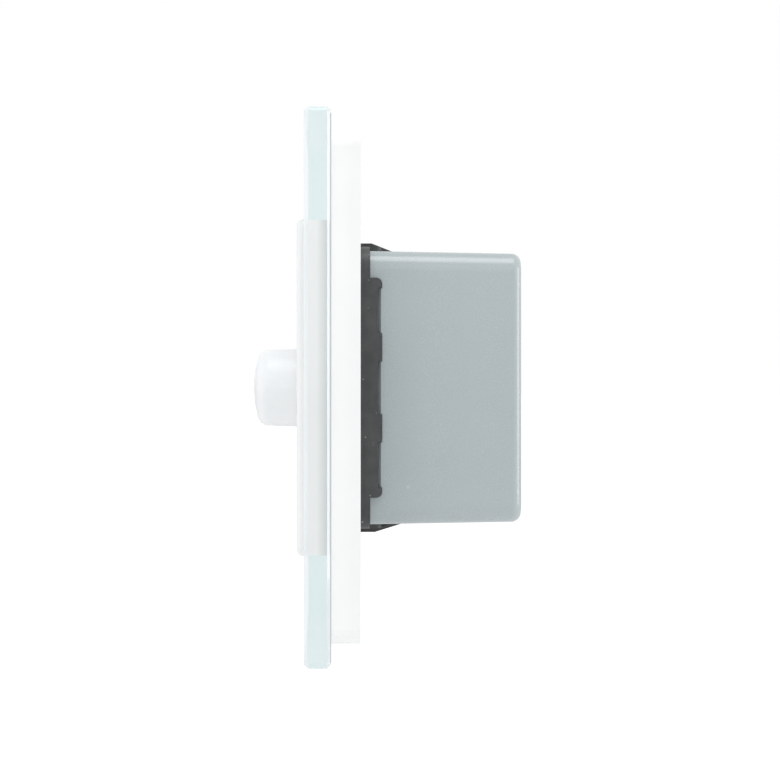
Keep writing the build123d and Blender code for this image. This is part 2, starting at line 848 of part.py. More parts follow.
def make_sensor_board():
    front, rear = sensor_board_front, sensor_board_rear
    board = slab(square(sensor_board_width, face_corner_radius), front, rear)
    for x, z in lead_places():
        board -= rod(lead_radius + pin_clearance, front - cut_overrun, rear + cut_overrun, x, z)
    for x, z in four_corners(board_screw_offset):
        hole = board_screw_radius + pin_clearance
        board -= rod(hole, front - cut_overrun, rear + cut_overrun, x, z)
    for hole in header_holes(front + header_seat_depth, rear + cut_overrun):
        board -= hole
    return board


def make_board_header():
    body_length = header_pin_count * header_pin_spacing
    outline = Pos(0, -header_drop) * Rectangle(body_length, header_body_width)
    body = slab(outline, sensor_board_rear, sensor_board_rear + header_body_height)
    pin_front = sensor_board_front + header_seat_depth + pin_clearance
    pin_rear = power_board_rear + header_tail
    for x, z in header_places():
        pin = Pos(x, z) * Rectangle(header_pin_width, header_pin_width)
        body += slab(pin, pin_front, pin_rear)
    return body


def make_board_screws():
    screws = []
    for x, z in four_corners(board_screw_offset):
        head_front = sensor_board_front - board_screw_head_height
        screw = rod(board_screw_head_radius, head_front, sensor_board_front, x, z)
        screw = fillet(screw.faces().sort_by(Axis.Y)[0].edges(), board_screw_head_edge_radius)
        screw += rod(board_screw_radius, sensor_board_front, sensor_board_rear + board_screw_length, x, z)
        for width, height in (
            (board_screw_slot_width, board_screw_head_radius),
            (board_screw_head_radius, board_screw_slot_width),
        ):
            recess = Pos(x, z) * Rectangle(width, height)
            screw -= slab(recess, head_front - cut_overrun, head_front + board_screw_slot_depth)
        screws.append(screw)
    return screws


def make_microcontroller():
    front = sensor_board_front - chip_height
    lift = chip_lead_thickness
    outline = Pos(0, chip_rise) * Rectangle(chip_length, chip_width)
    chip = slab(outline, front, sensor_board_front - lift)
    middle = (chip_lead_count - 1) / 2
    for k in range(chip_lead_count):
        for side in (-1, 1):
            x = (k - middle) * chip_lead_spacing
            foot = Pos(x, chip_rise + side * (chip_width + chip_lead_reach) / 2)
            foot *= Rectangle(chip_lead_width, chip_lead_reach)
            chip += slab(foot, sensor_board_front - chip_lead_thickness, sensor_board_front)
            root = Pos(x, chip_rise + side * (chip_width + chip_lead_thickness) / 2)
            root *= Rectangle(chip_lead_width, chip_lead_thickness)
            chip += slab(root, sensor_board_front - chip_height / 2, sensor_board_front)
    return chip


def contact_pin_outline(x, clearance):
    """The section of a contact's solder pin."""
    width = contact_pin_width + 2 * clearance
    height = contact_thickness + 2 * clearance
    return Pos(x, (contact_bottom + contact_top) / 2) * Rectangle(width, height)


def make_power_board():
    front, rear = power_board_front, power_board_rear
    board = slab(square(power_board_width, board_corner_radius), front, rear)
    for hole in header_holes(front - cut_overrun, rear + cut_overrun):
        board -= hole
    for x in pole_places().values():
        board -= slab(contact_pin_outline(x, pin_clearance), front - cut_overrun, rear + cut_overrun)
    return board


# Parts on the power board
def standing_box(left, right, bottom, top, depth):
    """A box with rounded rear corners that stands on the rear of the power board."""
    body = block((left, power_board_rear, bottom), (right, power_board_rear + depth, top))
    edges = body.faces().sort_by(Axis.Y)[-1].edges() + body.edges().filter_by(Axis.Y)
    return fillet(edges, part_edge_radius)


def make_relay():
    return standing_box(relay_left, relay_right, relay_bottom, relay_top, relay_depth)


def make_film_capacitor():
    return standing_box(
        film_capacitor_left,
        film_capacitor_right,
        film_capacitor_bottom,
        film_capacitor_top,
        film_capacitor_depth,
    )


def make_bridge_rectifier():
    rectifier_right = rectifier_left + rectifier_width
    return standing_box(rectifier_left, rectifier_right, rectifier_bottom, rectifier_top, rectifier_depth)


def make_electrolytic():
    x, z = electrolytic_x, electrolytic_z
    rear = power_board_rear + electrolytic_depth
    can = rod(electrolytic_radius, power_board_rear, rear, x, z)
    can = fillet(can.faces().sort_by(Axis.Y)[-1].edges(), part_edge_radius)
    groove_front = power_board_rear + electrolytic_groove_rise
    groove_rear = groove_front + electrolytic_groove_width
    groove = rod(electrolytic_radius + cut_overrun, groove_front, groove_rear, x, z)
    core = rod(electrolytic_radius - electrolytic_groove_depth, power_board_rear, rear, x, z)
    return can - (groove - core)


def make_choke():
    x, z = choke_x, choke_z
    rear = power_board_rear + choke_depth
    spool = rod(choke_radius - choke_winding_depth, power_board_rear, rear, x, z)
    spool += rod(choke_radius, power_board_rear, power_board_rear + choke_flange_thickness, x, z)
    return spool + rod(choke_radius, rear - choke_flange_thickness, rear, x, z)


def make_varistor():
    y = power_board_rear + varistor_lift + varistor_radius
    disc = Rot(0, quarter_turn, 0) * Cylinder(varistor_radius, varistor_thickness)
    disc = Pos(varistor_x, y, varistor_z) * fillet(disc.edges().filter_by(GeomType.CIRCLE), part_edge_radius)
    for side in (-1, 1):
        lead_z = varistor_z + side * varistor_lead_spacing / 2
        disc += rod(varistor_lead_radius, power_board_rear, y, varistor_x, lead_z)
    return disc


def make_fuse():
    """A lying tube with a bent wire at each end."""
    x, z = fuse_x, fuse_z
    y = power_board_rear + fuse_lift + fuse_radius
    barrel = Pos(x, y, z) * Rot(0, quarter_turn, 0) * Cylinder(fuse_radius, fuse_length)
    barrel = fillet(barrel.edges().filter_by(GeomType.CIRCLE), part_edge_radius)
    for side in (-1, 1):
        inner_x = x + side * (fuse_length / 2 - part_edge_radius)
        outer_x = x + side * (fuse_length / 2 + 2 * fuse_lead_bend)
        bend = [(inner_x, y, z), (outer_x, y, z), (outer_x, power_board_rear, z)]
        path = FilletPolyline(*bend, radius=fuse_lead_bend)
        barrel += sweep(Plane(origin=path @ 0, z_dir=path % 0) * Circle(fuse_lead_radius), path=path)
    return barrel


# Rear housing
def drafted_block(front, rear, inset, corner_radius):
    """A square block that follows the housing's draft, set in from its outer face."""
    sections = []
    for y in (rear, front):
        sections.append(wall_plane(y) * square(2 * (housing_half_width(y) - inset), corner_radius))
    return loft(sections)


def make_rear_housing():
    outer = drafted_block(corner_relief_reach + seat_clearance, housing_rear_face, 0, housing_corner_radius)
    shell = fillet(outer.faces().sort_by(Axis.Y)[-1].edges(), housing_rear_edge_radius)
    spigot_half = spigot_width / 2
    spigot_radius = housing_corner_radius - spigot_step
    rim_front = rim_reach + seat_clearance
    far = housing_front_width / 2 + cut_overrun
    band = block((spigot_half, lap_start, -lobe_offset), (far, rim_front, lobe_offset))
    bevel_foot = rim_front + rim_bevel
    half = housing_half_width(bevel_foot)
    bevel_points = [
        (half - rim_bevel - cut_overrun, rim_front - cut_overrun),
        (half + cut_overrun, bevel_foot + cut_overrun),
        (half + cut_overrun, rim_front - cut_overrun),
    ]
    bevel_outline = Plane.XY * make_face(Polyline(*bevel_points, close=True))
    bevel = extrude(bevel_outline, amount=lobe_offset, both=True)
    bevel &= block((spigot_half, rim_front - cut_overrun, -far), (far, bevel_foot + cut_overrun, far))
    for copy in on_four_sides(band) + on_four_sides(bevel):
        shell -= copy
    notch_rear = rim_reach + tab_reach + seat_clearance
    tab_half = tab_width / 2 + seat_clearance
    for side in (-1, 1):
        tab_notch = block(
            (spigot_half, lap_start, side * tab_offset - tab_half),
            (far, notch_rear, side * tab_offset + tab_half),
        )
        for copy in on_opposite_sides(tab_notch):
            shell -= copy
    for lobe_notch in make_rim_lobes(spigot_half, far, lap_start, seat_clearance):
        for copy in on_four_sides(lobe_notch):
            shell -= copy
    shell += slab(square(spigot_width, spigot_radius), lap_start + seat_clearance, notch_rear)
    inner_rear = housing_rear_face - housing_rear_wall
    inner_radius = housing_corner_radius - housing_wall
    shell -= drafted_block(lap_start - cut_overrun, inner_rear, housing_wall, inner_radius)
    post_half = housing_half_width(power_board_rear)
    post_start = post_half - housing_wall / 2 - post_width
    post_rear = inner_rear + fuse_overlap
    post = block((post_start, power_board_rear, post_start), (post_half, post_rear, post_half))
    wall_middle_radius = (housing_corner_radius + inner_radius) / 2
    post &= drafted_block(power_board_rear, post_rear, housing_wall / 2, wall_middle_radius)
    for copy in on_four_sides(post):
        shell += copy
    mouth_half = block_half_width + drop_in_clearance
    shell -= block(
        (-mouth_half, power_board_rear, block_bottom - drop_in_clearance),
        (mouth_half, housing_rear_face + cut_overrun, block_top + drop_in_clearance),
    )
    window_half = (len(pole_names) - 1) / 2 * pole_spacing + terminal_head_radius + screw_window_margin
    window_depth = terminal_head_radius + screw_window_margin
    shell -= block(
        (-window_half, terminal_axis - window_depth, -housing_front_width),
        (window_half, terminal_axis + window_depth, block_bottom),
    )
    return shell


# Screw terminals
def make_terminal_block():
    body = block(
        (-block_half_width, block_front, block_bottom),
        (block_half_width, block_rear, block_top),
    )
    for x in pole_places().values():
        body -= block(
            (x - chamber_width / 2, chamber_front, terminal_seat_top),
            (x + chamber_width / 2, chamber_rear, block_top + cut_overrun),
        )
        well = terminal_head_radius + terminal_head_clearance
        body -= upright(well, block_bottom - cut_overrun, head_top, x, terminal_axis)
        seat_hole = terminal_shank_radius + terminal_seat_hole_clearance
        body -= upright(seat_hole, head_top - cut_overrun, terminal_seat_top + cut_overrun, x, terminal_axis)
        contact_half = contact_width / 2 + cage_clearance
        body -= block(
            (x - contact_half, block_front - cut_overrun, contact_bottom - seat_clearance),
            (x + contact_half, chamber_front + cut_overrun, contact_top + seat_clearance),
        )
        body -= rod(wire_entry_radius, chamber_rear - cut_overrun, block_rear + cut_overrun, x, wire_height)
        funnel_start = wall_plane(block_rear - wire_funnel_depth)
        funnel_end = wall_plane(block_rear)
        mouth = loft(
            [
                funnel_start * Pos(x, wire_height) * Circle(wire_entry_radius),
                funnel_end * Pos(x, wire_height) * Circle(wire_funnel_radius),
            ]
        )
        body -= mouth
    return body


def make_terminal_screw(x):
    head_bottom = block_bottom + head_recess
    head = upright(terminal_head_radius, head_bottom, head_top, x, terminal_axis)
    head = chamfer(head.faces().sort_by(Axis.Z)[0].edges(), head_recess)
    tip = contact_bottom - seat_clearance
    screw = head + upright(terminal_shank_radius, head_top, tip, x, terminal_axis)
    slot_half = terminal_slot_width / 2
    slot_reach = terminal_head_radius + cut_overrun
    return screw - block(
        (x - slot_reach, terminal_axis - slot_half, head_bottom - cut_overrun),
        (x + slot_reach, terminal_axis + slot_half, head_bottom + terminal_slot_depth),
    )


def make_clamp_cage(x):
    low_y = terminal_axis - cage_depth / 2
    high_y = terminal_axis + cage_depth / 2
    cage = block((x - cage_width / 2, low_y, cage_bottom), (x + cage_width / 2, high_y, cage_top))
    inner_half = cage_width / 2 - cage_side_wall
    cage -= block(
        (x - inner_half, low_y - cut_overrun, cage_window_bottom),
        (x + inner_half, high_y + cut_overrun, cage_window_top),
    )
    hole = terminal_shank_radius + running_clearance
    hole_top = cage_window_bottom + short_overrun
    return cage - upright(hole, cage_bottom - cut_overrun, hole_top, x, terminal_axis)


def make_contact_bar(x):
    front = block_front + contact_pin_start
    rear = chamber_rear - cage_clearance
    bar = block(
        (x - contact_width / 2, front, contact_bottom),
        (x + contact_width / 2, rear, contact_top),
    )
    pin_front = power_board_front - contact_pin_tail
    return bar + slab(contact_pin_outline(x, 0), pin_front, front)


def make_pieces():
    """Every piece by its node name."""
    pieces = {
        "glass_panel": make_glass_panel(),
        "panel_backing_film": make_backing_film(),
        "panel_clip_frame": make_clip_frame(),
        "steel_yoke": make_yoke(),
        "chassis": make_chassis(),
        "face_plate": make_face_plate(),
        "pir_lens": make_lens(),
        "lens_retainer": make_lens_retainer(),
        "pir_sensor_can": make_sensor_can(),
        "pir_sensor_window": make_sensor_window(),
        "pir_sensor_header": make_sensor_header(),
        "led_light_guide": make_light_guide(-optic_offset),
        "sensor_light_guide": make_light_guide(optic_offset),
        "indicator_led": make_lamp(-optic_offset, led_height),
        "light_sensor": make_lamp(optic_offset, light_sensor_height),
        "time_trimmer_body": make_trimmer_body(-trimmer_offset),
        "time_trimmer_dial": make_trimmer_dial(-trimmer_offset),
        "lux_trimmer_body": make_trimmer_body(trimmer_offset),
        "lux_trimmer_dial": make_trimmer_dial(trimmer_offset),
        "sensor_board": make_sensor_board(),
        "board_screws": make_board_screws(),
        "board_header": make_board_header(),
        "microcontroller": make_microcontroller(),
        "power_board": make_power_board(),
        "relay": make_relay(),
        "film_capacitor": make_film_capacitor(),
        "electrolytic_capacitor": make_electrolytic(),
        "choke": make_choke(),
        "varistor": make_varistor(),
        "bridge_rectifier": make_bridge_rectifier(),
        "fuse": make_fuse(),
        "rear_housing": make_rear_housing(),
        "terminal_block": make_terminal_block(),
    }
    for name, x in pole_places().items():
        pieces[name + "_terminal_screw"] = make_terminal_screw(x)
        pieces[name + "_clamp_cage"] = make_clamp_cage(x)
        pieces[name + "_contact_bar"] = make_contact_bar(x)
    return pieces


os.makedirs("parts", exist_ok=True)
for node, piece in make_pieces().items():
    solids = piece if isinstance(piece, list) else piece.solids()
    export_step(Compound(children=list(solids)), os.path.join("parts", node + ".step"))
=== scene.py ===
# %% [markdown]
# # A motion sensor light switch, seen from its side
#
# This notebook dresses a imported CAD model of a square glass-panel wall switch with a small motion
# sensor lens. The model comes in as a fixed frame: its solids already have their true size and
# place, in metres. The wall is the plane y = 0, the front of the switch faces -Y, the wall box is
# on +Y, and +Z is up. What is left for Blender is light, finish and the fine detail that a CAD
# solid doesn't carry: threads, windings, solder and printed scales.

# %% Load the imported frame
import bmesh
import bpy
import math
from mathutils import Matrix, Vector


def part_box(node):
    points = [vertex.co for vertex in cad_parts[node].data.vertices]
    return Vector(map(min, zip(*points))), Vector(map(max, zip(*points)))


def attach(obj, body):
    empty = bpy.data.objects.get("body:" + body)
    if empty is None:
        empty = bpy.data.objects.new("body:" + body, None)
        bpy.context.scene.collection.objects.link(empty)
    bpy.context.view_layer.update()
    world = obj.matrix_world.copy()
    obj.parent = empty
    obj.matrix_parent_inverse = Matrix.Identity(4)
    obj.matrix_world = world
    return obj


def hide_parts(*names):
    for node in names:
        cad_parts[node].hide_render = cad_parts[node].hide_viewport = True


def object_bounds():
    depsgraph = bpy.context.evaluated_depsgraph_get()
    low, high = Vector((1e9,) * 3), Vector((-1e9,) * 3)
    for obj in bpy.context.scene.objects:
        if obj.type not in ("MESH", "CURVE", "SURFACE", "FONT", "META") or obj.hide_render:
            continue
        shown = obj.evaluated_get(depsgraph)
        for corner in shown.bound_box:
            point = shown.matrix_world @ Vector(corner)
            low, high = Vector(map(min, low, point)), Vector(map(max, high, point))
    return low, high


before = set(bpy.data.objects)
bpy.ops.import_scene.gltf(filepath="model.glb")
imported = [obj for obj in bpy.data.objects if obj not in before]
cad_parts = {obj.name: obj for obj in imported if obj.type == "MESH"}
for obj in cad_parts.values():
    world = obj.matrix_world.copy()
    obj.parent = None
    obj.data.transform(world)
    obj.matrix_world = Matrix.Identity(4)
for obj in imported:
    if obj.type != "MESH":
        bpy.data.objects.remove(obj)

MM = 0.001
cad_low, cad_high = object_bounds()
print("CAD box in mm:", [round((b - a) / MM, 2) for a, b in zip(cad_low, cad_high)])

# %% [markdown]
# ## The camera
#
# The switch was photographed straight from its side by a camera about 0.38 m away. Two things in
# the photograph say so: the far corners of the glass show through its edge, smaller than the near
# ones, and the white frame behind the glass shrinks by the same rule. The picture is cropped off
# centre. Turning the camera would tilt the edges, so a lens shift repeats the crop instead.

# %% Camera
PICTURE_WIDTH = 780
PIXELS_PER_MM = 7.04
CAMERA_DISTANCE = 383 * MM
GLASS_HALF_WIDTH = 40 * MM
AXIS_COLUMN = 330
WALL_COLUMN = 361
GLASS_CENTRE_ROW = 387.2
PICTURE_CENTRE_ROW = 390
SENSOR_WIDTH = 36


def add_object(name, data):
    """A new object at the origin, in the scene."""
    made = bpy.data.objects.new(name, data)
    bpy.context.scene.collection.objects.link(made)
    return made


def make_camera():
    """The camera looks along -X, with the picture's crop made by a lens shift."""
    lens = bpy.data.cameras.new("camera")
    camera = add_object("camera", lens)
    side_step = (AXIS_COLUMN - WALL_COLUMN) / PIXELS_PER_MM * MM
    camera.location = (CAMERA_DISTANCE, side_step, 0)
    camera.rotation_euler = (math.radians(90), 0, math.radians(90))
    picture_width_m = PICTURE_WIDTH / PIXELS_PER_MM * MM
    lens.sensor_width = SENSOR_WIDTH
    lens.lens = SENSOR_WIDTH * (CAMERA_DISTANCE - GLASS_HALF_WIDTH) / picture_width_m
    lens.shift_x = (PICTURE_WIDTH / 2 - AXIS_COLUMN) / PICTURE_WIDTH
    lens.shift_y = (GLASS_CENTRE_ROW - PICTURE_CENTRE_ROW) / PICTURE_WIDTH
    lens.clip_start = 0.01
    lens.clip_end = 200
    bpy.context.scene.camera = camera
    return camera


camera = make_camera()
print("focal length in mm:", round(camera.data.lens, 1))

# %% [markdown]
# ## Helpers for materials
#
# A material is a small tree of nodes. One helper adds a node, applies its settings and fills its
# inputs: a plain value is written into the socket, and an earlier node or one of its outputs is
# linked to it. Colours are written as the familiar sRGB hex values, and one function turns them
# into the linear numbers that a shader works with. Every pattern reads Object coordinates, which
# are metres on the object, so its size can be given in real millimetres.

# %% Helpers for node trees
finishes = {}


def linear(hex_colour):
    """An sRGB hex colour as linear RGBA."""
    channels = [int(hex_colour[k:k + 2], 16) / 255 for k in (1, 3, 5)]
    curve = [c / 12.92 if c <= 0.04045 else ((c + 0.055) / 1.055) ** 2.4 for c in channels]
    return (*curve, 1.0)


def add_node(tree, kind, inputs=None, **settings):
    """Adds a node. An input is a plain value, an output, or a node, which stands for its first output."""
    made = tree.nodes.new(kind)
    for name, value in settings.items():
        setattr(made, name, value)
    for socket, value in (inputs or {}).items():
        if isinstance(value, bpy.types.Node):
            value = value.outputs[0]
        if isinstance(value, bpy.types.NodeSocket):
            tree.links.new(value, made.inputs[socket])
        else:
            made.inputs[socket].default_value = value
    return made


def start_finish(name):
    """A new empty material, kept by name: its tree and the Object coordinates for its patterns."""
    material = bpy.data.materials.new(name)
    material.use_nodes = True
    tree = material.node_tree
    tree.nodes.clear()
    finishes[name] = material
    return tree, add_node(tree, "ShaderNodeTexCoord").outputs["Object"]


print("white in linear light:", linear("#FFFFFF"))

# %% [markdown]
# ## The white surrounding
#
# The photograph has a pure white ground and a very even light, which comes from all round. A
# picture of a studio could be wrapped round the scene, but an even white is simpler and has
# nothing in it for a gloss surface to mirror. Matt surfaces get less of it, so that the lamps
# below still count. Rays that come from the camera, or through glass, or off a gloss surface see
# it as plain white.

# %% World
WORLD_LIGHT = 0.66


def make_world():
    """An even white surrounding, plain white to the camera and in reflections."""
    world = bpy.data.worlds.new("studio")
    world.use_nodes = True
    tree = world.node_tree
    tree.nodes.clear()
    ray = add_node(tree, "ShaderNodeLightPath").outputs
    seen = add_node(tree, "ShaderNodeMath", {0: ray["Is Camera Ray"], 1: ray["Is Glossy Ray"]},
                    operation="MAXIMUM")
    clear = add_node(tree, "ShaderNodeMath", {0: seen, 1: ray["Is Transmission Ray"]}, operation="MAXIMUM")
    strength = add_node(tree, "ShaderNodeMapRange", {"Value": clear, "To Min": WORLD_LIGHT, "To Max": 1.0})
    sky = add_node(tree, "ShaderNodeBackground", {"Color": linear("#FFFFFF"), "Strength": strength})
    add_node(tree, "ShaderNodeOutputWorld", {"Surface": sky})
    bpy.context.scene.world = world


make_world()
print("world light:", WORLD_LIGHT)

# %% [markdown]
# ## The floor
#
# A wide matt white floor lies well below the switch and takes its soft shadow. Under the lamps it
# comes out a little darker than the white ground. Brighter lamps would bleach the switch, so a
# small glow that only the camera sees lifts the floor instead, and the shadow stays. The lift grows
# away from the switch, where the lamps don't reach.

# %% Floor
FLOOR_DROP = 100 * MM
FLOOR_HALF_WIDTH = 40.0
FLOOR_GRAINS_PER_METRE = 90.0
LIFT_NEAR = 0.04
LIFT_FAR = 0.42
LIFT_START = 0.12
LIFT_END = 0.75


def make_floor_paint():
    """Matt white paint with a fine grain, lifted to white for the camera."""
    tree, place = start_finish("matt_floor_paint")
    grain = add_node(tree, "ShaderNodeTexNoise",
                     {"Vector": place, "Scale": FLOOR_GRAINS_PER_METRE, "Detail": 3.0})
    tone = add_node(tree, "ShaderNodeMix", {0: grain, 6: linear("#FFFFFF"), 7: linear("#FCFCFC")},
                    data_type="RGBA")
    matt = add_node(tree, "ShaderNodeBsdfDiffuse", {"Color": tone.outputs[2]})
    away = add_node(tree, "ShaderNodeVectorMath", {0: place}, operation="LENGTH").outputs["Value"]
    reach = add_node(tree, "ShaderNodeMapRange", {"Value": away, "From Min": LIFT_START, "From Max": LIFT_END,
                                                  "To Min": LIFT_NEAR, "To Max": LIFT_FAR})
    seen = add_node(tree, "ShaderNodeLightPath").outputs["Is Camera Ray"]
    lift = add_node(tree, "ShaderNodeMath", {0: seen, 1: reach}, operation="MULTIPLY")
    glow = add_node(tree, "ShaderNodeEmission", {"Strength": lift})
    both = add_node(tree, "ShaderNodeAddShader", {0: matt, 1: glow})
    add_node(tree, "ShaderNodeOutputMaterial", {"Surface": both})


def make_floor():
    """A wide matt floor, pale enough to merge with the white surrounding."""
    mesh = bpy.data.meshes.new("floor")
    half = FLOOR_HALF_WIDTH
    level = cad_low.z - FLOOR_DROP
    corners = [(-half, -half, level), (half, -half, level), (half, half, level), (-half, half, level)]
    mesh.from_pydata(corners, [], [(0, 1, 2, 3)])
    mesh.materials.append(finishes["matt_floor_paint"])
    floor = add_object("floor", mesh)
    return floor


make_floor_paint()
floor = make_floor()
print("floor at z in mm:", round(floor.data.vertices[0].co.z / MM, 1))

# %% [markdown]
# ## The lamps
#
# Small lamps would throw hard shadows, and the photograph has none, so four large soft lamps give
# the light its direction. The two that light the switch most hang above it and stand behind it,
# where the photograph shows the grey housing getting brighter. Two weaker ones stand behind the
# camera and in front of the panel.

# %% Lamps
# Each lamp: its place and size in metres, and its power in watts.
LAMPS = {
    "lamp_above": ((0.18, 0.05, 0.60), 0.36, 1.3),
    "lamp_behind": ((0.12, 0.60, 0.05), 0.30, 0.95),
    "lamp_beside": ((0.80, -0.15, 0.30), 0.60, 0.6),
    "lamp_in_front": ((0.10, -0.70, 0.20), 0.60, 0.8),
}


def make_lamp(name, place, size, power):
    """A soft square lamp that points at the switch and isn't seen itself."""
    light = bpy.data.lights.new(name, "AREA")
    light.shape = "SQUARE"
    light.size = size
    light.energy = power
    lamp = add_object(name, light)
    lamp.location = place
    lamp.rotation_euler = (-Vector(place)).to_track_quat("-Z", "Y").to_euler()
    lamp.visible_camera = False


for name, (place, size, power) in LAMPS.items():
    make_lamp(name, place, size, power)
bpy.context.scene.view_settings.view_transform = "Standard"
print("lamps:", ", ".join(LAMPS))

# %% [markdown]
# ## A finish that has a grain
#
# Nearly every surface here has the same three things in it: a slow drift of colour, a fine grain
# that breaks up a highlight, and a shallow relief that goes with the grain. What differs between a
# moulded plastic, a rolled metal and a dipped lacquer is the size and stretch of the grain, how
# rough it is, and how deep. So one function builds that tree, and each finish below gives it its
# own sizes in millimetres. Real grain is often only a few hundredths of a millimetre wide, too fine
# for the render to show, so most of it is drawn 0.1 to 0.35 mm wide. Some finishes also have marks
# in a second colour, which goes wherever a mask is white.

# %% Grained finish
NOISE_LOW = 0.3
NOISE_HIGH = 0.7
RELIEF_STRENGTH = 0.6


def lay_grain(tree, place, light, dark, drift_mm, grain_mm, smooth, rough, stretch=(1, 1, 1)):
    """The drifting colour, the roughness and the height of a grain."""
    span = {"From Min": NOISE_LOW, "From Max": NOISE_HIGH}
    drift = add_node(tree, "ShaderNodeTexNoise",
                     {"Vector": place, "Scale": 1 / (drift_mm * MM), "Detail": 2.0})
    share = add_node(tree, "ShaderNodeMapRange", {"Value": drift, **span})
    colour = add_node(tree, "ShaderNodeMix", {0: share, 6: linear(light), 7: linear(dark)}, data_type="RGBA")
    stretched = [1 / (grain_mm * MM * along) for along in stretch]
    fine = add_node(tree, "ShaderNodeMapping", {"Vector": place, "Scale": stretched})
    grain = add_node(tree, "ShaderNodeTexNoise", {"Vector": fine, "Scale": 1.0, "Detail": 3.0})
    roughness = add_node(tree, "ShaderNodeMapRange",
                         {"Value": grain, **span, "To Min": smooth, "To Max": rough})
    return colour.outputs[2], roughness, grain


def end_finish(tree, colour, roughness, height, depth_mm, mask=None, over=None, **values):
    """The second colour where there is a mask, then the relief, the shader and the output."""
    if mask:
        marked = add_node(tree, "ShaderNodeMix", {0: mask, 6: colour, 7: linear(over)}, data_type="RGBA")
        colour = marked.outputs[2]
    relief = add_node(tree, "ShaderNodeBump",
                      {"Strength": RELIEF_STRENGTH, "Distance": depth_mm * MM, "Height": height})
    named = {name.replace("_", " "): value for name, value in values.items()}
    shader = add_node(tree, "ShaderNodeBsdfPrincipled",
                      {"Base Color": colour, "Roughness": roughness, "Normal": relief, **named})
    add_node(tree, "ShaderNodeOutputMaterial", {"Surface": shader})


def make_grained(name, light, dark, drift_mm, grain_mm, smooth, rough, depth_mm, stretch=(1, 1, 1), **values):
    """A finish that is only its grain."""
    tree, place = start_finish(name)
    colour, roughness, grain = lay_grain(tree, place, light, dark, drift_mm, grain_mm, smooth, rough, stretch)
    end_finish(tree, colour, roughness, grain, depth_mm, **values)


print("a grain's noise runs from", NOISE_LOW, "to", NOISE_HIGH)

# %% [markdown]
# ## Moulded plastics and ink
#
# Most of the switch is injection-moulded, and such a surface takes the grain of the steel mould.
# The white parts come from a finely polished mould, so they are smooth and fairly glossy: the clip
# frame is ABS and the front cover polycarbonate, which is a little glossier and has a higher IOR.
# The dials are nylon and the lens ring is acetal, two slippery plastics with a waxy, duller face.
# The terminal block and the pin header are polyamide, which stands heat and has a satin face. The
# relay, the trimmers and the film capacitor are glossy cases, and a chip is matt epoxy. The scale
# ink is printed on the cover, flat and dull. They differ only in numbers, so a table holds them.

# %% Moulded plastics
# Each row: two tones, drift and grain in mm, roughness from and to, depth of the grain in mm, IOR.
MOULDED = {
    "clip_frame_abs": ("#F8F9F9", "#F5F6F6", 14.0, 0.18, 0.28, 0.36, 0.002, 1.54),
    "face_plate_polycarbonate": ("#F9FAFA", "#F6F8F8", 14.0, 0.15, 0.22, 0.28, 0.002, 1.58),
    "dial_nylon": ("#E8EAEA", "#E0E3E3", 6.0, 0.15, 0.35, 0.48, 0.004, 1.53),
    "retainer_acetal": ("#F1F0EC", "#E9E8E3", 8.0, 0.20, 0.30, 0.42, 0.004, 1.48),
    "terminal_polyamide": ("#8E979A", "#858E91", 10.0, 0.35, 0.40, 0.55, 0.008, 1.53),
    "trimmer_thermoplastic": ("#2457A8", "#1E4C96", 4.0, 0.15, 0.20, 0.32, 0.003, 1.57),
    "relay_case_polyester": ("#2A62B4", "#23569F", 9.0, 0.30, 0.16, 0.28, 0.004, 1.57),
    "film_capacitor_epoxy": ("#D8A21E", "#C8921A", 5.0, 0.50, 0.20, 0.34, 0.010, 1.55),
    "chip_epoxy": ("#2A2A2C", "#222224", 3.0, 0.12, 0.45, 0.60, 0.004, 1.55),
    "pin_header_polyamide": ("#1B1B1D", "#161618", 4.0, 0.20, 0.38, 0.52, 0.004, 1.53),
    "scale_ink": ("#8A9296", "#808A8E", 0.8, 0.05, 0.45, 0.60, 0.002, 1.50),
}
for name, (*grain, ior) in MOULDED.items():
    make_grained(name, *grain, IOR=ior)
print("moulded plastics and ink:", len(MOULDED))

# %% [markdown]
# ## The grey housing
#
# The housing is a satin grey polycarbonate. Two marks of its mould are drawn on the same grain. The
# gate, where the melt came in, left a small pale spot on the side, low and near the middle: the
# photograph shows it. Ejector pins pushed the housing out of the mould and left four faint rings in
# its rear face. A painted image could hold such marks, but a distance from a point gives a round
# mark that stays clean at any size, and folding the coordinates gives all four rings from one.

# %% Housing polycarbonate
GATE_PLACE = (20.5, 7.3, -14.9)
GATE_RADIUS = 0.32
GATE_TONE = 0.35
EJECTOR_OFFSET = 13.5
EJECTOR_RADIUS = 1.6
EJECTOR_LINE = 0.12
RING_DEPTH = 12.0
HOUSING_REAR = 24.4


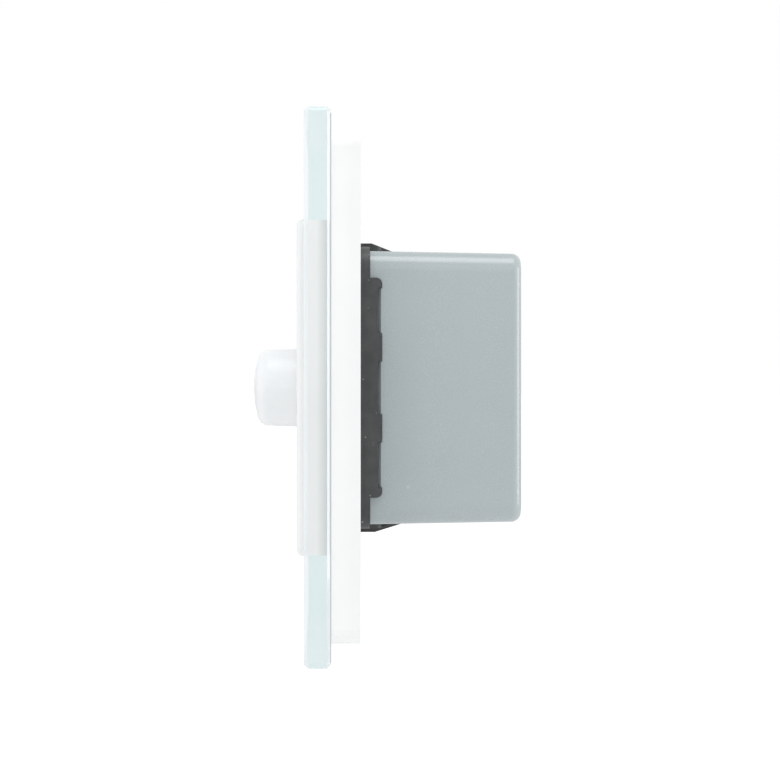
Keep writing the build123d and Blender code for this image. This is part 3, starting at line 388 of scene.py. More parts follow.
def make_housing_polycarbonate():
    """Satin grey polycarbonate with a gate mark and ejector marks."""
    tree, place = start_finish("housing_polycarbonate")
    colour, roughness, grain = lay_grain(tree, place, "#AFB9BB", "#ABB5B7", 14.0, 0.15, 0.24, 0.29)
    gate = [c * MM for c in GATE_PLACE]
    to_gate = add_node(tree, "ShaderNodeVectorMath", {0: place, 1: gate}, operation="DISTANCE")
    spot = add_node(tree, "ShaderNodeMapRange",
                    {"Value": to_gate.outputs["Value"], "From Min": GATE_RADIUS * MM,
                     "From Max": GATE_RADIUS * MM / 2, "To Max": GATE_TONE})
    folded = add_node(tree, "ShaderNodeVectorMath", {0: place}, operation="ABSOLUTE")
    pin = [c * MM for c in (EJECTOR_OFFSET, HOUSING_REAR, EJECTOR_OFFSET)]
    to_pin = add_node(tree, "ShaderNodeVectorMath", {0: folded, 1: pin}, operation="DISTANCE")
    ring = add_node(tree, "ShaderNodeMath",
                    {0: to_pin.outputs["Value"], 1: EJECTOR_RADIUS * MM, 2: EJECTOR_LINE * MM},
                    operation="COMPARE")
    height = add_node(tree, "ShaderNodeMath", {0: ring, 1: -RING_DEPTH, 2: grain}, operation="MULTIPLY_ADD")
    end_finish(tree, colour, roughness, height, 0.003, mask=spot, over="#DDE3E4", IOR=1.66)


make_housing_polycarbonate()
print("gate mark at", GATE_PLACE, "and four ejector marks", EJECTOR_OFFSET, "mm out")

# %% [markdown]
# ## The black chassis
#
# The chassis is a dark polycarbonate with a coarse spark-eroded texture. In the photograph it isn't
# one black: pale specks are scattered over it where the grain catches the light, so they are painted
# glints here, a pale colour in the grain. A noise would give soft clouds, but a Voronoi pattern gives
# separate round specks, because only the middle of some of its cells turns pale. The real grain is
# finer than the render can show, so the cells are drawn 0.7 mm wide and a speck about 0.4 mm.

# %% Speckled black polycarbonate
SPECK_SPACING = 0.7
SPECK_CHANCE = 0.18
SPECK_CORE = 0.20
SPECK_RIM = 0.32


def make_speckled_polycarbonate():
    """Dark coarse-grained plastic with pale specks, which are painted glints."""
    tree, place = start_finish("chassis_polycarbonate")
    dark, roughness, grain = lay_grain(tree, place, "#3B3C3D", "#484949", 2.2, 0.22, 0.38, 0.56)
    cells = add_node(tree, "ShaderNodeTexVoronoi", {"Vector": place, "Scale": 1 / (SPECK_SPACING * MM)})
    middle = add_node(tree, "ShaderNodeMapRange",
                      {"Value": cells, "From Min": SPECK_CORE, "From Max": SPECK_RIM,
                       "To Min": 1.0, "To Max": 0.0})
    lot = add_node(tree, "ShaderNodeSeparateColor", {0: cells.outputs["Color"]})
    chosen = add_node(tree, "ShaderNodeMath", {0: lot, 1: SPECK_CHANCE}, operation="LESS_THAN")
    # painted glints: pale specks where the grain would catch the light
    painted_glint = add_node(tree, "ShaderNodeMath", {0: middle, 1: chosen}, operation="MULTIPLY")
    end_finish(tree, dark, roughness, grain, 0.02, mask=painted_glint, over="#C6C8C9", IOR=1.58)


make_speckled_polycarbonate()
print("share of the cells with a speck:", SPECK_CHANCE)

# %% [markdown]
# ## Thin glass and acrylic
#
# The panel is tempered soda-lime glass over a white film. A refracting shader would turn its bevels
# black here, where light passes 80 mm of glass, so the faces are thin straight-through glass with
# a low alpha, and the bevels are nearly solid. The front bevel is pale, a painted highlight. The
# bevel at the rear faces the white frame, which takes some light from it, so it is painted duller
# than the one in front: painted shade. The wall of the window is ground: it scatters light and
# hides more than the faces do. The light guides, the indicator lamp and the light sensor are
# acrylic, clear with a gloss.

# %% Thin glass and acrylic
# Each row: two tones, drift and grain in mm, roughness from and to, depth in mm, alpha, IOR.
CLEAR = {
    "glass_face": ("#E4F0F1", "#E0EDEE", 9.0, 0.9, 0.02, 0.05, 0.0005, 0.07, 1.52),
    # the front bevel's pale tone is a painted highlight
    "glass_bevel_painted_highlight": ("#F3F8FA", "#EFF5F8", 9.0, 0.9, 0.03, 0.07, 0.0005, 0.80, 1.52),
    # the rear bevel's darker tone is painted shade
    "glass_rear_bevel_painted_shade": ("#E4EBED", "#E0E7EA", 9.0, 0.9, 0.03, 0.07, 0.0005, 0.80, 1.52),
    "glass_ground_wall": ("#F8FBFC", "#F4F8F9", 4.0, 0.2, 0.40, 0.50, 0.004, 0.25, 1.52),
    "clear_acrylic": ("#EEF2F3", "#E8EDEF", 3.0, 0.6, 0.08, 0.14, 0.001, 0.45, 1.49),
}
for name, (*grain, alpha, ior) in CLEAR.items():
    make_grained(name, *grain, Alpha=alpha, IOR=ior)
print("thin finishes:", len(CLEAR))

# %% [markdown]
# ## The polished edge of the glass
#
# Seen along the panel, the polished edge is a solid pale blue-green, because iron tints 80 mm of
# glass. In front of the window only 15 mm of glass lie in the way, and the edge is paler. Glass
# that absorbs light would show this by itself, but it needs the refraction that was ruled out
# above. So the colour goes by the smaller of |x| and |z|: near white in front of the window,
# blue-green beside it. The pale part also carries painted shade: it darkens towards the wall, for
# the shaded rear of the cover that would show through it.

# %% Glass edge
SHORT_PATH_HALF = 23.7
PATH_BLEND = 0.2
SHADE_START = 6.3
SHADE_END = 4.9
EDGE_ALPHA = 0.72


def make_glass_edge():
    """The polished edge, paler where the window is behind it, with painted shade towards the rear there."""
    tree, place = start_finish("glass_edge")
    deep, roughness, grain = lay_grain(tree, place, "#E2F1F2", "#E0EFF1", 12.0, 0.9, 0.03, 0.07, (8, 1, 8))
    folded = add_node(tree, "ShaderNodeVectorMath", {0: place}, operation="ABSOLUTE")
    parts = add_node(tree, "ShaderNodeSeparateXYZ", {0: folded}).outputs
    along = add_node(tree, "ShaderNodeMath", {0: parts["X"], 1: parts["Z"]}, operation="MINIMUM")
    clear = add_node(tree, "ShaderNodeMapRange",
                     {"Value": along, "From Min": (SHORT_PATH_HALF + PATH_BLEND) * MM,
                      "From Max": SHORT_PATH_HALF * MM})
    # painted shade: the pale part darkens towards the wall
    painted_shade_share = add_node(tree, "ShaderNodeMapRange",
                        {"Value": parts["Y"], "From Min": SHADE_START * MM, "From Max": SHADE_END * MM})
    pale = add_node(tree, "ShaderNodeMix", {0: painted_shade_share, 6: linear("#F2F4F4"), 7: linear("#CDD3D5")},
                    data_type="RGBA")
    colour = add_node(tree, "ShaderNodeMix", {0: clear, 6: deep, 7: pale.outputs[2]}, data_type="RGBA")
    end_finish(tree, colour.outputs[2], roughness, grain, 0.0005, Alpha=EDGE_ALPHA, IOR=1.52)


make_glass_edge()
print("glass edge with an alpha of", EDGE_ALPHA)

# %% [markdown]
# ## The milky lens
#
# A motion sensor lens is moulded from high-density polyethylene, because it lets heat rays through.
# It is milky: light goes in, scatters and comes out again, so it has almost no shading of its own,
# and subsurface scattering of about a millimetre gives that. The small lenses are moulded on its
# inside, and their borders show through the skin as faint lines, too faint for a mesh of their own.
# The distance to the edges of a Voronoi pattern draws them, 2.3 mm apart.

# %% Polyethylene
LENSLET_SPACING = 2.3
LENSLET_JITTER = 0.35
LENSLET_LINE = 0.07
LENSLET_TONE = 0.10
SCATTER_DEPTH = 0.8


def make_milky_polyethylene():
    """Translucent white plastic with the borders of its inner lenses."""
    tree, place = start_finish("lens_polyethylene")
    milk, roughness, grain = lay_grain(tree, place, "#F8FAFD", "#F4F8FB", 5.0, 0.12, 0.30, 0.38)
    borders = add_node(tree, "ShaderNodeTexVoronoi",
                       {"Vector": place, "Scale": 1 / (LENSLET_SPACING * MM), "Randomness": LENSLET_JITTER},
                       feature="DISTANCE_TO_EDGE")
    line = add_node(tree, "ShaderNodeMapRange",
                    {"Value": borders.outputs["Distance"], "From Max": LENSLET_LINE,
                     "To Min": LENSLET_TONE, "To Max": 0.0})
    end_finish(tree, milk, roughness, grain, 0.003, mask=line, over="#E2E8EE", Subsurface_Weight=0.35,
               Subsurface_Radius=(1.0, 1.0, 1.1), Subsurface_Scale=SCATTER_DEPTH * MM, IOR=1.51)


make_milky_polyethylene()
print("lens borders every", LENSLET_SPACING, "mm")

# %% [markdown]
# ## The white film
#
# The film behind the glass is a plain bonding sheet with a faint unevenness. Its cut edge is painted
# grey, a line of painted shade. A second material would do for the edge, but a node keeps its mesh
# and its one slot, so the finish itself turns grey at a distance from the middle.

# %% Film with a grey cut edge
FILM_SHADE_LINE = 39.45


def make_bonding_film():
    """White film whose cut edge is painted grey, a line of painted shade."""
    tree, place = start_finish("bonding_film")
    white, roughness, grain = lay_grain(tree, place, "#F6F8F8", "#F2F5F5", 6.0, 0.4, 0.50, 0.65)
    folded = add_node(tree, "ShaderNodeVectorMath", {0: place}, operation="ABSOLUTE")
    parts = add_node(tree, "ShaderNodeSeparateXYZ", {0: folded}).outputs
    out = add_node(tree, "ShaderNodeMath", {0: parts["X"], 1: parts["Z"]}, operation="MAXIMUM")
    # painted shade: the film turns grey at its cut edge
    cut = add_node(tree, "ShaderNodeMath", {0: out, 1: FILM_SHADE_LINE * MM}, operation="GREATER_THAN")
    end_finish(tree, white, roughness, grain, 0.002, mask=cut, over="#C9CFD1", IOR=1.50)


make_bonding_film()
print("the film's edge turns grey", FILM_SHADE_LINE, "mm out")

# %% [markdown]
# ## Hot-dipped zinc
#
# The yoke is pressed from hot-dipped sheet, and zinc freezes in flat crystals a few millimetres
# across, called spangle: each crystal has its own tone and gloss. The cells of a Voronoi pattern
# are such crystals, and a noise bends their straight borders.

# %% Zinc
SPANGLE_SIZE = 3.2
SPANGLE_WARP = 0.12
SPANGLE_WARP_SCALE = 3.0


def make_spangled_zinc():
    """Hot-dipped sheet with crystals that differ in tone and gloss."""
    tree, place = start_finish("spangled_zinc")
    scaled = add_node(tree, "ShaderNodeMapping", {"Vector": place, "Scale": [1 / (SPANGLE_SIZE * MM)] * 3})
    warp = add_node(tree, "ShaderNodeTexNoise",
                    {"Vector": scaled, "Scale": SPANGLE_WARP_SCALE, "Detail": 2.0})
    bent = add_node(tree, "ShaderNodeMix", {0: SPANGLE_WARP, 4: scaled, 5: warp}, data_type="VECTOR")
    crystals = add_node(tree, "ShaderNodeTexVoronoi", {"Vector": bent.outputs[1], "Scale": 1.0})
    tone = add_node(tree, "ShaderNodeSeparateColor", {0: crystals.outputs["Color"]})
    colour = add_node(tree, "ShaderNodeMix", {0: tone, 6: linear("#B0B5B8"), 7: linear("#C2C6C9")},
                      data_type="RGBA")
    roughness = add_node(tree, "ShaderNodeMapRange", {"Value": tone, "To Min": 0.37, "To Max": 0.44})
    end_finish(tree, colour.outputs[2], roughness, warp, 0.004, Metallic=1.0)


make_spangled_zinc()
print("spangle size in mm:", round(SPANGLE_SIZE / (1 - SPANGLE_WARP), 1))

# %% [markdown]
# ## Plated, rolled and soldered metals
#
# The screws and the sensor can are nickel-plated, with fine turning marks. The clamps and contacts
# are plain brass strip, whose rolling left streaks along its length. Solder is a soft grey with a
# dull bloom, enamelled copper is a deep orange under a clear coat, and the top of the capacitor is
# bare rolled aluminium. An image of scratches could be laid on them, but a grain that is stretched
# one way gives such streaks at any size. The real marks are finer than the 0.1 mm that is drawn.

# %% Metals with a stretched grain
# Each row: two tones, drift and grain in mm, roughness from and to, depth in mm, stretch of the grain.
METALS = {
    "nickel_plate": ("#CFCCC4", "#C2BFB7", 3.0, 0.15, 0.16, 0.30, 0.002, (4, 4, 1)),
    "rolled_brass": ("#D0AC5F", "#BE9A50", 3.0, 0.12, 0.24, 0.40, 0.002, (1, 12, 1)),
    "rolled_aluminium": ("#D6D8DA", "#CACDCF", 2.0, 0.10, 0.28, 0.42, 0.002, (10, 1, 1)),
    "tin_solder": ("#B9BCBE", "#A6AAAC", 0.6, 0.20, 0.22, 0.40, 0.010, (1, 1, 1)),
}
for name, row in METALS.items():
    make_grained(name, *row, Metallic=1.0)
make_grained("enamelled_copper", "#B8683A", "#A4552C", 1.5, 0.10, 0.18, 0.28, 0.002,
             Metallic=1.0, Coat_Weight=0.6)
print("finishes so far:", len(finishes))

# %% [markdown]
# ## The circuit boards
#
# A circuit board is green because a lacquer covers the copper, and the copper shows through it as
# slightly raised, lighter tracks. An image of tracks could be laid on, but the joints of a brick
# pattern are straight lines too. Two of them lie on the 1.27 and 2.54 mm grids that such boards are
# drawn on. A slow noise keeps the first in some patches and the second in others, so that short
# runs of tracks are left.

# %% Solder mask
# Each row: the direction across the tracks, the one along them, the grid in mm, and where they stay.
TRACK_GRIDS = (("X", "Z", 1.27, "GREATER_THAN", 0.54), ("Z", "X", 2.54, "LESS_THAN", 0.45))
TRACK_PATCH = 4.5
TRACK_WIDTH = 0.10
TRACK_SOFTNESS = 0.1
TRACK_LENGTH = 9.0


def make_solder_mask():
    """Green lacquer over copper tracks."""
    tree, place = start_finish("solder_mask")
    lacquer, roughness, grain = lay_grain(tree, place, "#0B4A26", "#0A4122", 6.0, 0.6, 0.20, 0.34)
    parts = add_node(tree, "ShaderNodeSeparateXYZ", {0: place}).outputs
    patches = add_node(tree, "ShaderNodeTexNoise",
                       {"Vector": place, "Scale": 1 / (TRACK_PATCH * MM), "Detail": 0.0})
    tracks = []
    for across, along, grid, side, limit in TRACK_GRIDS:
        flat = add_node(tree, "ShaderNodeCombineXYZ", {0: parts[across], 1: parts[along]})
        bricks = add_node(tree, "ShaderNodeTexBrick",
                          {"Vector": flat, "Scale": 1 / (grid * MM), "Mortar Size": TRACK_WIDTH,
                           "Mortar Smooth": TRACK_SOFTNESS, "Brick Width": TRACK_LENGTH, "Row Height": 1.0})
        kept = add_node(tree, "ShaderNodeMath", {0: patches, 1: limit}, operation=side)
        runs = add_node(tree, "ShaderNodeMath", {0: bricks.outputs["Fac"], 1: kept}, operation="MULTIPLY")
        tracks.append(runs)
    copper = add_node(tree, "ShaderNodeMath", {0: tracks[0], 1: tracks[1]}, operation="MAXIMUM")
    end_finish(tree, lacquer, roughness, copper, 0.03, mask=copper, over="#176035", IOR=1.55)


make_solder_mask()
print("tracks on grids of", [grid[2] for grid in TRACK_GRIDS], "mm")

# %% [markdown]
# ## The capacitor's sleeve
#
# An electrolytic capacitor wears a black sleeve that was shrunk on with heat, so it has fine
# wrinkles, and a pale stripe runs down one side. A second material would need a second slot, and
# a node keeps its one. So three comparisons find the stripe: its width, its side, and how far it
# runs before the fold at the top.

# %% Shrink sleeve
STRIPE_HALF_WIDTH = 1.1
SLEEVE_FOLD = 0.6


def make_striped_sleeve():
    """Black shrink sleeve with a pale stripe down the capacitor's +X side."""
    tree, place = start_finish("shrink_sleeve")
    dark, roughness, wrinkles = lay_grain(tree, place, "#1D1D20", "#26262A", 3.0, 0.7, 0.22, 0.36, (1, 5, 1))
    low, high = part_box("electrolytic_capacitor")
    middle = (low + high) / 2
    parts = add_node(tree, "ShaderNodeSeparateXYZ", {0: place}).outputs
    stripe = add_node(tree, "ShaderNodeMath", {0: parts["Z"], 1: middle.z, 2: STRIPE_HALF_WIDTH * MM},
                      operation="COMPARE")
    side = add_node(tree, "ShaderNodeMath", {0: parts["X"], 1: middle.x}, operation="GREATER_THAN")
    fold = high.y - SLEEVE_FOLD * MM
    wall = add_node(tree, "ShaderNodeMath", {0: parts["Y"], 1: fold}, operation="LESS_THAN")
    strip = add_node(tree, "ShaderNodeMath", {0: stripe, 1: side}, operation="MULTIPLY")
    pale = add_node(tree, "ShaderNodeMath", {0: strip, 1: wall}, operation="MULTIPLY")
    end_finish(tree, dark, roughness, wrinkles, 0.01, mask=pale, over="#B9BBBE", IOR=1.54)


make_striped_sleeve()
print("stripe width in mm:", 2 * STRIPE_HALF_WIDTH)

# %% [markdown]
# ## Lacquer, ceramics and the filter
#
# The varistor is dipped in coloured lacquer, thick and glossy, so its grain is the widest of all. A
# ferrite core is a dull baked ceramic, and the fuse is a smoother ceramic tube. The sensor looks
# out through a dark silicon filter, and a clear coat gives it its gloss. Each could have a tree of
# its own, but they too differ only in numbers.

# %% Lacquer, ceramics and filter
make_grained("core_ferrite", "#3A3B3D", "#2C2D2F", 2.0, 0.4, 0.55, 0.75, 0.02, IOR=1.50)
make_grained("varistor_lacquer", "#2D66B5", "#24569D", 2.5, 1.1, 0.14, 0.26, 0.03, IOR=1.55)
make_grained("fuse_ceramic", "#E4E2D8", "#D8D6CB", 2.0, 0.5, 0.35, 0.50, 0.01, IOR=1.60)
make_grained("silicon_filter", "#1E1B26", "#17151D", 1.5, 0.8, 0.06, 0.14, 0.001, Coat_Weight=0.5)
print("finishes in all:", len(finishes))

# %% [markdown]
# ## Give each node its finish
#
# The frame's nodes keep their meshes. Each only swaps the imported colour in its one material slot
# for a finish from above. The list goes by finish, because pieces of one material share it.

# %% Dress the frame
poles = ("live", "neutral", "load")
DRESSING = {
    "bonding_film": ["panel_backing_film"],
    "clip_frame_abs": ["panel_clip_frame"],
    "spangled_zinc": ["steel_yoke"],
    "chassis_polycarbonate": ["chassis"],
    "face_plate_polycarbonate": ["face_plate"],
    "lens_polyethylene": ["pir_lens"],
    "retainer_acetal": ["lens_retainer"],
    "silicon_filter": ["pir_sensor_window"],
    "clear_acrylic": ["led_light_guide", "sensor_light_guide", "indicator_led", "light_sensor"],
    "trimmer_thermoplastic": ["time_trimmer_body", "lux_trimmer_body"],
    "dial_nylon": ["time_trimmer_dial", "lux_trimmer_dial"],
    "solder_mask": ["sensor_board", "power_board"],
    "nickel_plate": ["pir_sensor_can", "board_screws"] + [pole + "_terminal_screw" for pole in poles],
    "rolled_brass": ["pir_sensor_header"] + [pole + part for pole in poles
                                             for part in ("_clamp_cage", "_contact_bar")],
    "pin_header_polyamide": ["board_header"],
    "chip_epoxy": ["microcontroller", "bridge_rectifier"],
    "relay_case_polyester": ["relay"],
    "film_capacitor_epoxy": ["film_capacitor"],
    "shrink_sleeve": ["electrolytic_capacitor"],
    "core_ferrite": ["choke"],
    "varistor_lacquer": ["varistor"],
    "fuse_ceramic": ["fuse"],
    "housing_polycarbonate": ["rear_housing"],
    "terminal_polyamide": ["terminal_block"],
}
for finish, nodes in DRESSING.items():
    for node in nodes:
        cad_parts[node].data.materials[0] = finishes[finish]
undressed = sorted(set(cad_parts) - set(sum(DRESSING.values(), [])))
print("nodes left for a piece of their own:", undressed)

# %% [markdown]
# ## Two ways to make a mesh
#
# Some pieces are outlines joined by quads: each level of the piece is one closed ring of points, and
# each band between two rings can have its own finish. Others are turned, as on a lathe, from a list
# of places along an axis with a radius at each. Both end as one plain object at the origin, with
# smooth shading that keeps its sharp edges.

# %% Helpers for meshes
SHARP_ANGLE = math.radians(35)
CORNER_STEPS = 8


def box_mm(node):
    """The low corner, the high corner and the middle of a node's box, in millimetres."""
    low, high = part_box(node)
    return low / MM, high / MM, (low + high) / 2 / MM


def finish_mesh(name, mesh, materials):
    """Turns a bmesh into an object at the origin with its finishes, smooth between sharp edges."""
    bmesh.ops.recalc_face_normals(mesh, faces=mesh.faces)
    data = bpy.data.meshes.new(name)
    mesh.to_mesh(data)
    mesh.free()
    for material in materials:
        data.materials.append(finishes[material])
    data.polygons.foreach_set("use_smooth", [True] * len(data.polygons))
    data.set_sharp_from_angle(angle=SHARP_ANGLE)
    return add_object(name, data)


def rounded_square(half, radius, level):
    """Points of a rounded square about the Y axis in millimetres, in order, at a level along Y."""
    points = []
    for k, (sx, sz) in enumerate(((1, 1), (-1, 1), (-1, -1), (1, -1))):
        for step in range(CORNER_STEPS + 1):
            angle = math.radians(90 * k + 90 * step / CORNER_STEPS)
            x = sx * (half - radius) + radius * math.cos(angle)
            z = sz * (half - radius) + radius * math.sin(angle)
            points.append((x, level, z))
    return points


def join_rings(name, rings, bands, materials):
    """Closed rings joined by quads, the last ring joined to the first, with a finish per band."""
    mesh = bmesh.new()
    loops = [[mesh.verts.new([c * MM for c in point]) for point in ring] for ring in rings]
    count = len(loops[0])
    for near, far, slot in zip(loops, loops[1:] + loops[:1], bands):
        for k in range(count):
            face = mesh.faces.new((near[k], near[(k + 1) % count], far[(k + 1) % count], far[k]))
            face.material_index = slot
    return finish_mesh(name, mesh, materials)


def turn_mesh(profile, centre, axis, segments=40):
    """A turned shape in a bmesh, from (place, radius) pairs in millimetres, closed where a radius is 0."""
    mesh = bmesh.new()
    rings = []
    for along, radius in profile:
        ring = []
        for k in range(segments if radius > 0 else 1):
            angle = 2 * math.pi * k / segments
            across, up = radius * math.cos(angle), radius * math.sin(angle)
            offset = {"X": (along, across, up), "Y": (across, along, up), "Z": (across, up, along)}[axis]
            ring.append(mesh.verts.new([(c + o) * MM for c, o in zip(centre, offset)]))
        rings.append(ring)
    for near, far in zip(rings, rings[1:]):
        for k in range(segments):
            after = (k + 1) % segments
            corners = [near[k % len(near)], near[after % len(near)], far[after % len(far)], far[k % len(far)]]
            mesh.faces.new(list(dict.fromkeys(corners)))
    return mesh


print("middle of the relay in mm:", [round(c, 2) for c in box_mm("relay")[2]])

# %% [markdown]
# ## The glass panel
#
# The panel is a square of float glass with a square window. Its outer edge is ground flat and
# polished, with a wide bevel to the front and a narrow one to the rear, and its corners are only
# just rounded. A block with a Bevel modifier would have one width and one finish all round, so the
# panel is made of rings that go from the window's rear edge round the front and back. Each band is
# a different kind of surface: the faces, the polished edge, the bevels, with a painted highlight on
# the front one and painted shade on the rear one, and the ground wall of the window, which is
# frosted. The rear face stops a hair in front of the film, because two surfaces in one plane
# flicker against each other.

# %% Glass panel
WINDOW_HALF = 25.2
WINDOW_CORNER = 1.6
WINDOW_BEVEL = 0.2
PANEL_CORNER = 0.9
FRONT_BEVEL = 0.6
REAR_BEVEL = 0.4
FILM_GAP = 0.03


def make_glass_panel():
    """The whole panel: window, front face, bevel, polished edge, rear bevel and rear face."""
    low, high, _ = box_mm("glass_panel")
    front, rear, half = low.y, high.y - FILM_GAP, high.x
    rings = [
        rounded_square(WINDOW_HALF, WINDOW_CORNER, rear),
        rounded_square(WINDOW_HALF, WINDOW_CORNER, front + WINDOW_BEVEL),
        rounded_square(WINDOW_HALF + WINDOW_BEVEL, WINDOW_CORNER + WINDOW_BEVEL, front),
        rounded_square(half - FRONT_BEVEL, PANEL_CORNER - FRONT_BEVEL, front),
        rounded_square(half, PANEL_CORNER, front + FRONT_BEVEL),
        rounded_square(half, PANEL_CORNER, high.y - REAR_BEVEL),
        rounded_square(half - REAR_BEVEL, PANEL_CORNER - REAR_BEVEL, rear),
    ]
    face, edge, bevel, rear_bevel, wall = range(5)
    bands = [wall, wall, face, bevel, edge, rear_bevel, face]
    return join_rings("glass_panel_cut", rings, bands,
                      ["glass_face", "glass_edge", "glass_bevel_painted_highlight", "glass_rear_bevel_painted_shade", "glass_ground_wall"])


glass = make_glass_panel()
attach(glass, "panel")
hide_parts("glass_panel")
print("glass quads:", len(glass.data.polygons))

# %% [markdown]
# ## Shapes that repeat
#
# A thread, a winding, a row of solder joints or the strokes of a scale repeat one small shape by a
# rule, and that is what Geometry Nodes are for. Each tree below takes named sizes, puts its shape
# on the points it is given, makes the instances real and sets their finish. The result is then
# turned into a plain mesh, because an exported model keeps no modifiers.

# %% Helpers for shape trees
def start_shape_tree(name, sizes):
    """A Geometry Nodes tree that takes points and named sizes."""
    tree = bpy.data.node_groups.new(name, "GeometryNodeTree")
    tree.interface.new_socket("Points", in_out="INPUT", socket_type="NodeSocketGeometry")
    for size, value in sizes.items():
        kind = "NodeSocketInt" if isinstance(value, int) else "NodeSocketFloat"
        tree.interface.new_socket(size, in_out="INPUT", socket_type=kind)
    tree.interface.new_socket("Shape", in_out="OUTPUT", socket_type="NodeSocketGeometry")
    return tree, add_node(tree, "NodeGroupInput").outputs


def end_shape_tree(tree, points, shape, finish, turn=(0, 0, 0)):
    """The shape put on the points and turned, made real and given its finish."""
    placed = add_node(tree, "GeometryNodeInstanceOnPoints",
                      {"Points": points, "Instance": shape, "Rotation": turn})
    real = add_node(tree, "GeometryNodeRealizeInstances", {0: placed})
    painted = add_node(tree, "GeometryNodeSetMaterial", {"Geometry": real, "Material": finishes[finish]})
    add_node(tree, "NodeGroupOutput", {0: painted})


def keep_as_mesh(piece, modifier):
    """Keeps what a modifier makes as the piece's own mesh, and takes the modifier off."""
    graph = bpy.context.evaluated_depsgraph_get()
    grown = bpy.data.meshes.new_from_object(piece.evaluated_get(graph), depsgraph=graph)
    piece.modifiers.remove(modifier)
    piece.data = grown


def grow_piece(name, tree, sizes, points):
    """Runs a tree on points in millimetres and keeps the result as one plain mesh."""
    seed = bpy.data.meshes.new(name)
    seed.from_pydata([[c * MM for c in point] for point in points], [], [])
    piece = add_object(name, seed)
    modifier = piece.modifiers.new("shape", "NODES")
    modifier.node_group = tree
    for socket in tree.interface.items_tree:
        if socket.name in sizes:
            modifier[socket.identifier] = sizes[socket.name]
    keep_as_mesh(piece, modifier)
    if piece.data.materials[0] is None:  # a primitive's mesh starts with an empty slot
        piece.data.materials.pop(index=0)
    return piece


print("a shape tree takes points and sizes")

# %% [markdown]
# ## The strokes round the dials
#
# A trimmer needs a scale. Eleven strokes stand round each dial, over the 270 degrees that it turns,
# and they get broader from low to high, so the scale reads without a word or a number. They are
# printed in grey ink, a few hundredths of a millimetre thick. An image on the cover would blur in a
# close view, so each stroke is a thin block. The tree spreads points on an arc by their index and
# turns a block to each.

# %% Dial scales
SCALE_SIZES = {"Strokes": 11, "Radius": 3.15 * MM, "Length": 0.85 * MM, "Thickness": 0.04 * MM,
               "Narrow": 0.12 * MM, "Broad": 0.38 * MM}
SCALE_SWEEP = math.radians(270)


def make_scale_tree():
    """Strokes on an arc about Y, from narrow to broad."""
    tree, size = start_shape_tree("dial_scale", SCALE_SIZES)
    block = add_node(tree, "GeometryNodeMeshCube", {"Size": (1, 1, 1)})
    index = add_node(tree, "GeometryNodeInputIndex")
    last = add_node(tree, "ShaderNodeMath", {0: size["Strokes"], 1: 1.0}, operation="SUBTRACT")
    share = add_node(tree, "ShaderNodeMath", {0: index, 1: last}, operation="DIVIDE")
    angle = add_node(tree, "ShaderNodeMapRange",
                     {"Value": share, "To Min": -SCALE_SWEEP / 2, "To Max": SCALE_SWEEP / 2})
    sine = add_node(tree, "ShaderNodeMath", {0: angle}, operation="SINE")
    cosine = add_node(tree, "ShaderNodeMath", {0: angle}, operation="COSINE")
    middle = add_node(tree, "ShaderNodeMath", {0: size["Length"], 1: 0.5, 2: size["Radius"]},
                      operation="MULTIPLY_ADD")
    across = add_node(tree, "ShaderNodeMath", {0: sine, 1: middle}, operation="MULTIPLY")
    up = add_node(tree, "ShaderNodeMath", {0: cosine, 1: middle}, operation="MULTIPLY")
    spot = add_node(tree, "ShaderNodeCombineXYZ", {0: across, 2: up})
    dots = add_node(tree, "GeometryNodePoints", {"Count": size["Strokes"], "Position": spot})
    turn = add_node(tree, "ShaderNodeCombineXYZ", {1: angle})
    width = add_node(tree, "ShaderNodeMapRange",
                     {"Value": share, "To Min": size["Narrow"], "To Max": size["Broad"]})
    stroke = add_node(tree, "ShaderNodeCombineXYZ", {0: width, 1: size["Thickness"], 2: size["Length"]})
    ring = add_node(tree, "GeometryNodeInstanceOnPoints",
                    {"Points": dots, "Instance": block, "Rotation": turn, "Scale": stroke})
    end_shape_tree(tree, size["Points"], ring, "scale_ink")
    return tree


face_front = box_mm("face_plate")[0].y
dial_middles = [box_mm(name)[2] for name in ("time_trimmer_dial", "lux_trimmer_dial")]
scale_points = [(middle.x, face_front, middle.z) for middle in dial_middles]
scales = grow_piece("dial_scales", make_scale_tree(), SCALE_SIZES, scale_points)
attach(scales, "module")
print("strokes:", len(scales.data.polygons) // 6)

# %% [markdown]
# ## Threads and windings
#
# A screw thread and a coil of wire are one shape: a small section swept along a helix. A Screw
# modifier could sweep them too, but a tree keeps its sizes as named inputs and serves both. The
# thread's section has four sides and stands half out of the core, and the wire's is round. The
# normals of the helix are kept level, so that the section doesn't twist on its way.

# %% Helix tree
HELIX_SIZES = {"Turns": 8.0, "Radius": 1.25 * MM, "Length": 4.0 * MM, "Section": 0.2 * MM, "Sides": 4,
               "Tilt": 0.0}
STEPS_PER_TURN = 20


def make_helix_tree(finish):
    """A section swept along a helix that stands on each point."""
    tree, size = start_shape_tree("helix_of_" + finish, HELIX_SIZES)
    helix = add_node(tree, "GeometryNodeCurveSpiral",
                     {"Resolution": STEPS_PER_TURN, "Rotations": size["Turns"], "Height": size["Length"],
                      "Start Radius": size["Radius"], "End Radius": size["Radius"]})
    level = add_node(tree, "GeometryNodeSetCurveNormal", {"Curve": helix}, mode="Z_UP")
    section = add_node(tree, "GeometryNodeCurvePrimitiveCircle",
                       {"Resolution": size["Sides"], "Radius": size["Section"]})
    swept = add_node(tree, "GeometryNodeCurveToMesh",
                     {"Curve": level, "Profile Curve": section, "Fill Caps": True})
    tilt = add_node(tree, "ShaderNodeCombineXYZ", {0: size["Tilt"]})
    end_shape_tree(tree, size["Points"], swept, finish, tilt)
    return tree


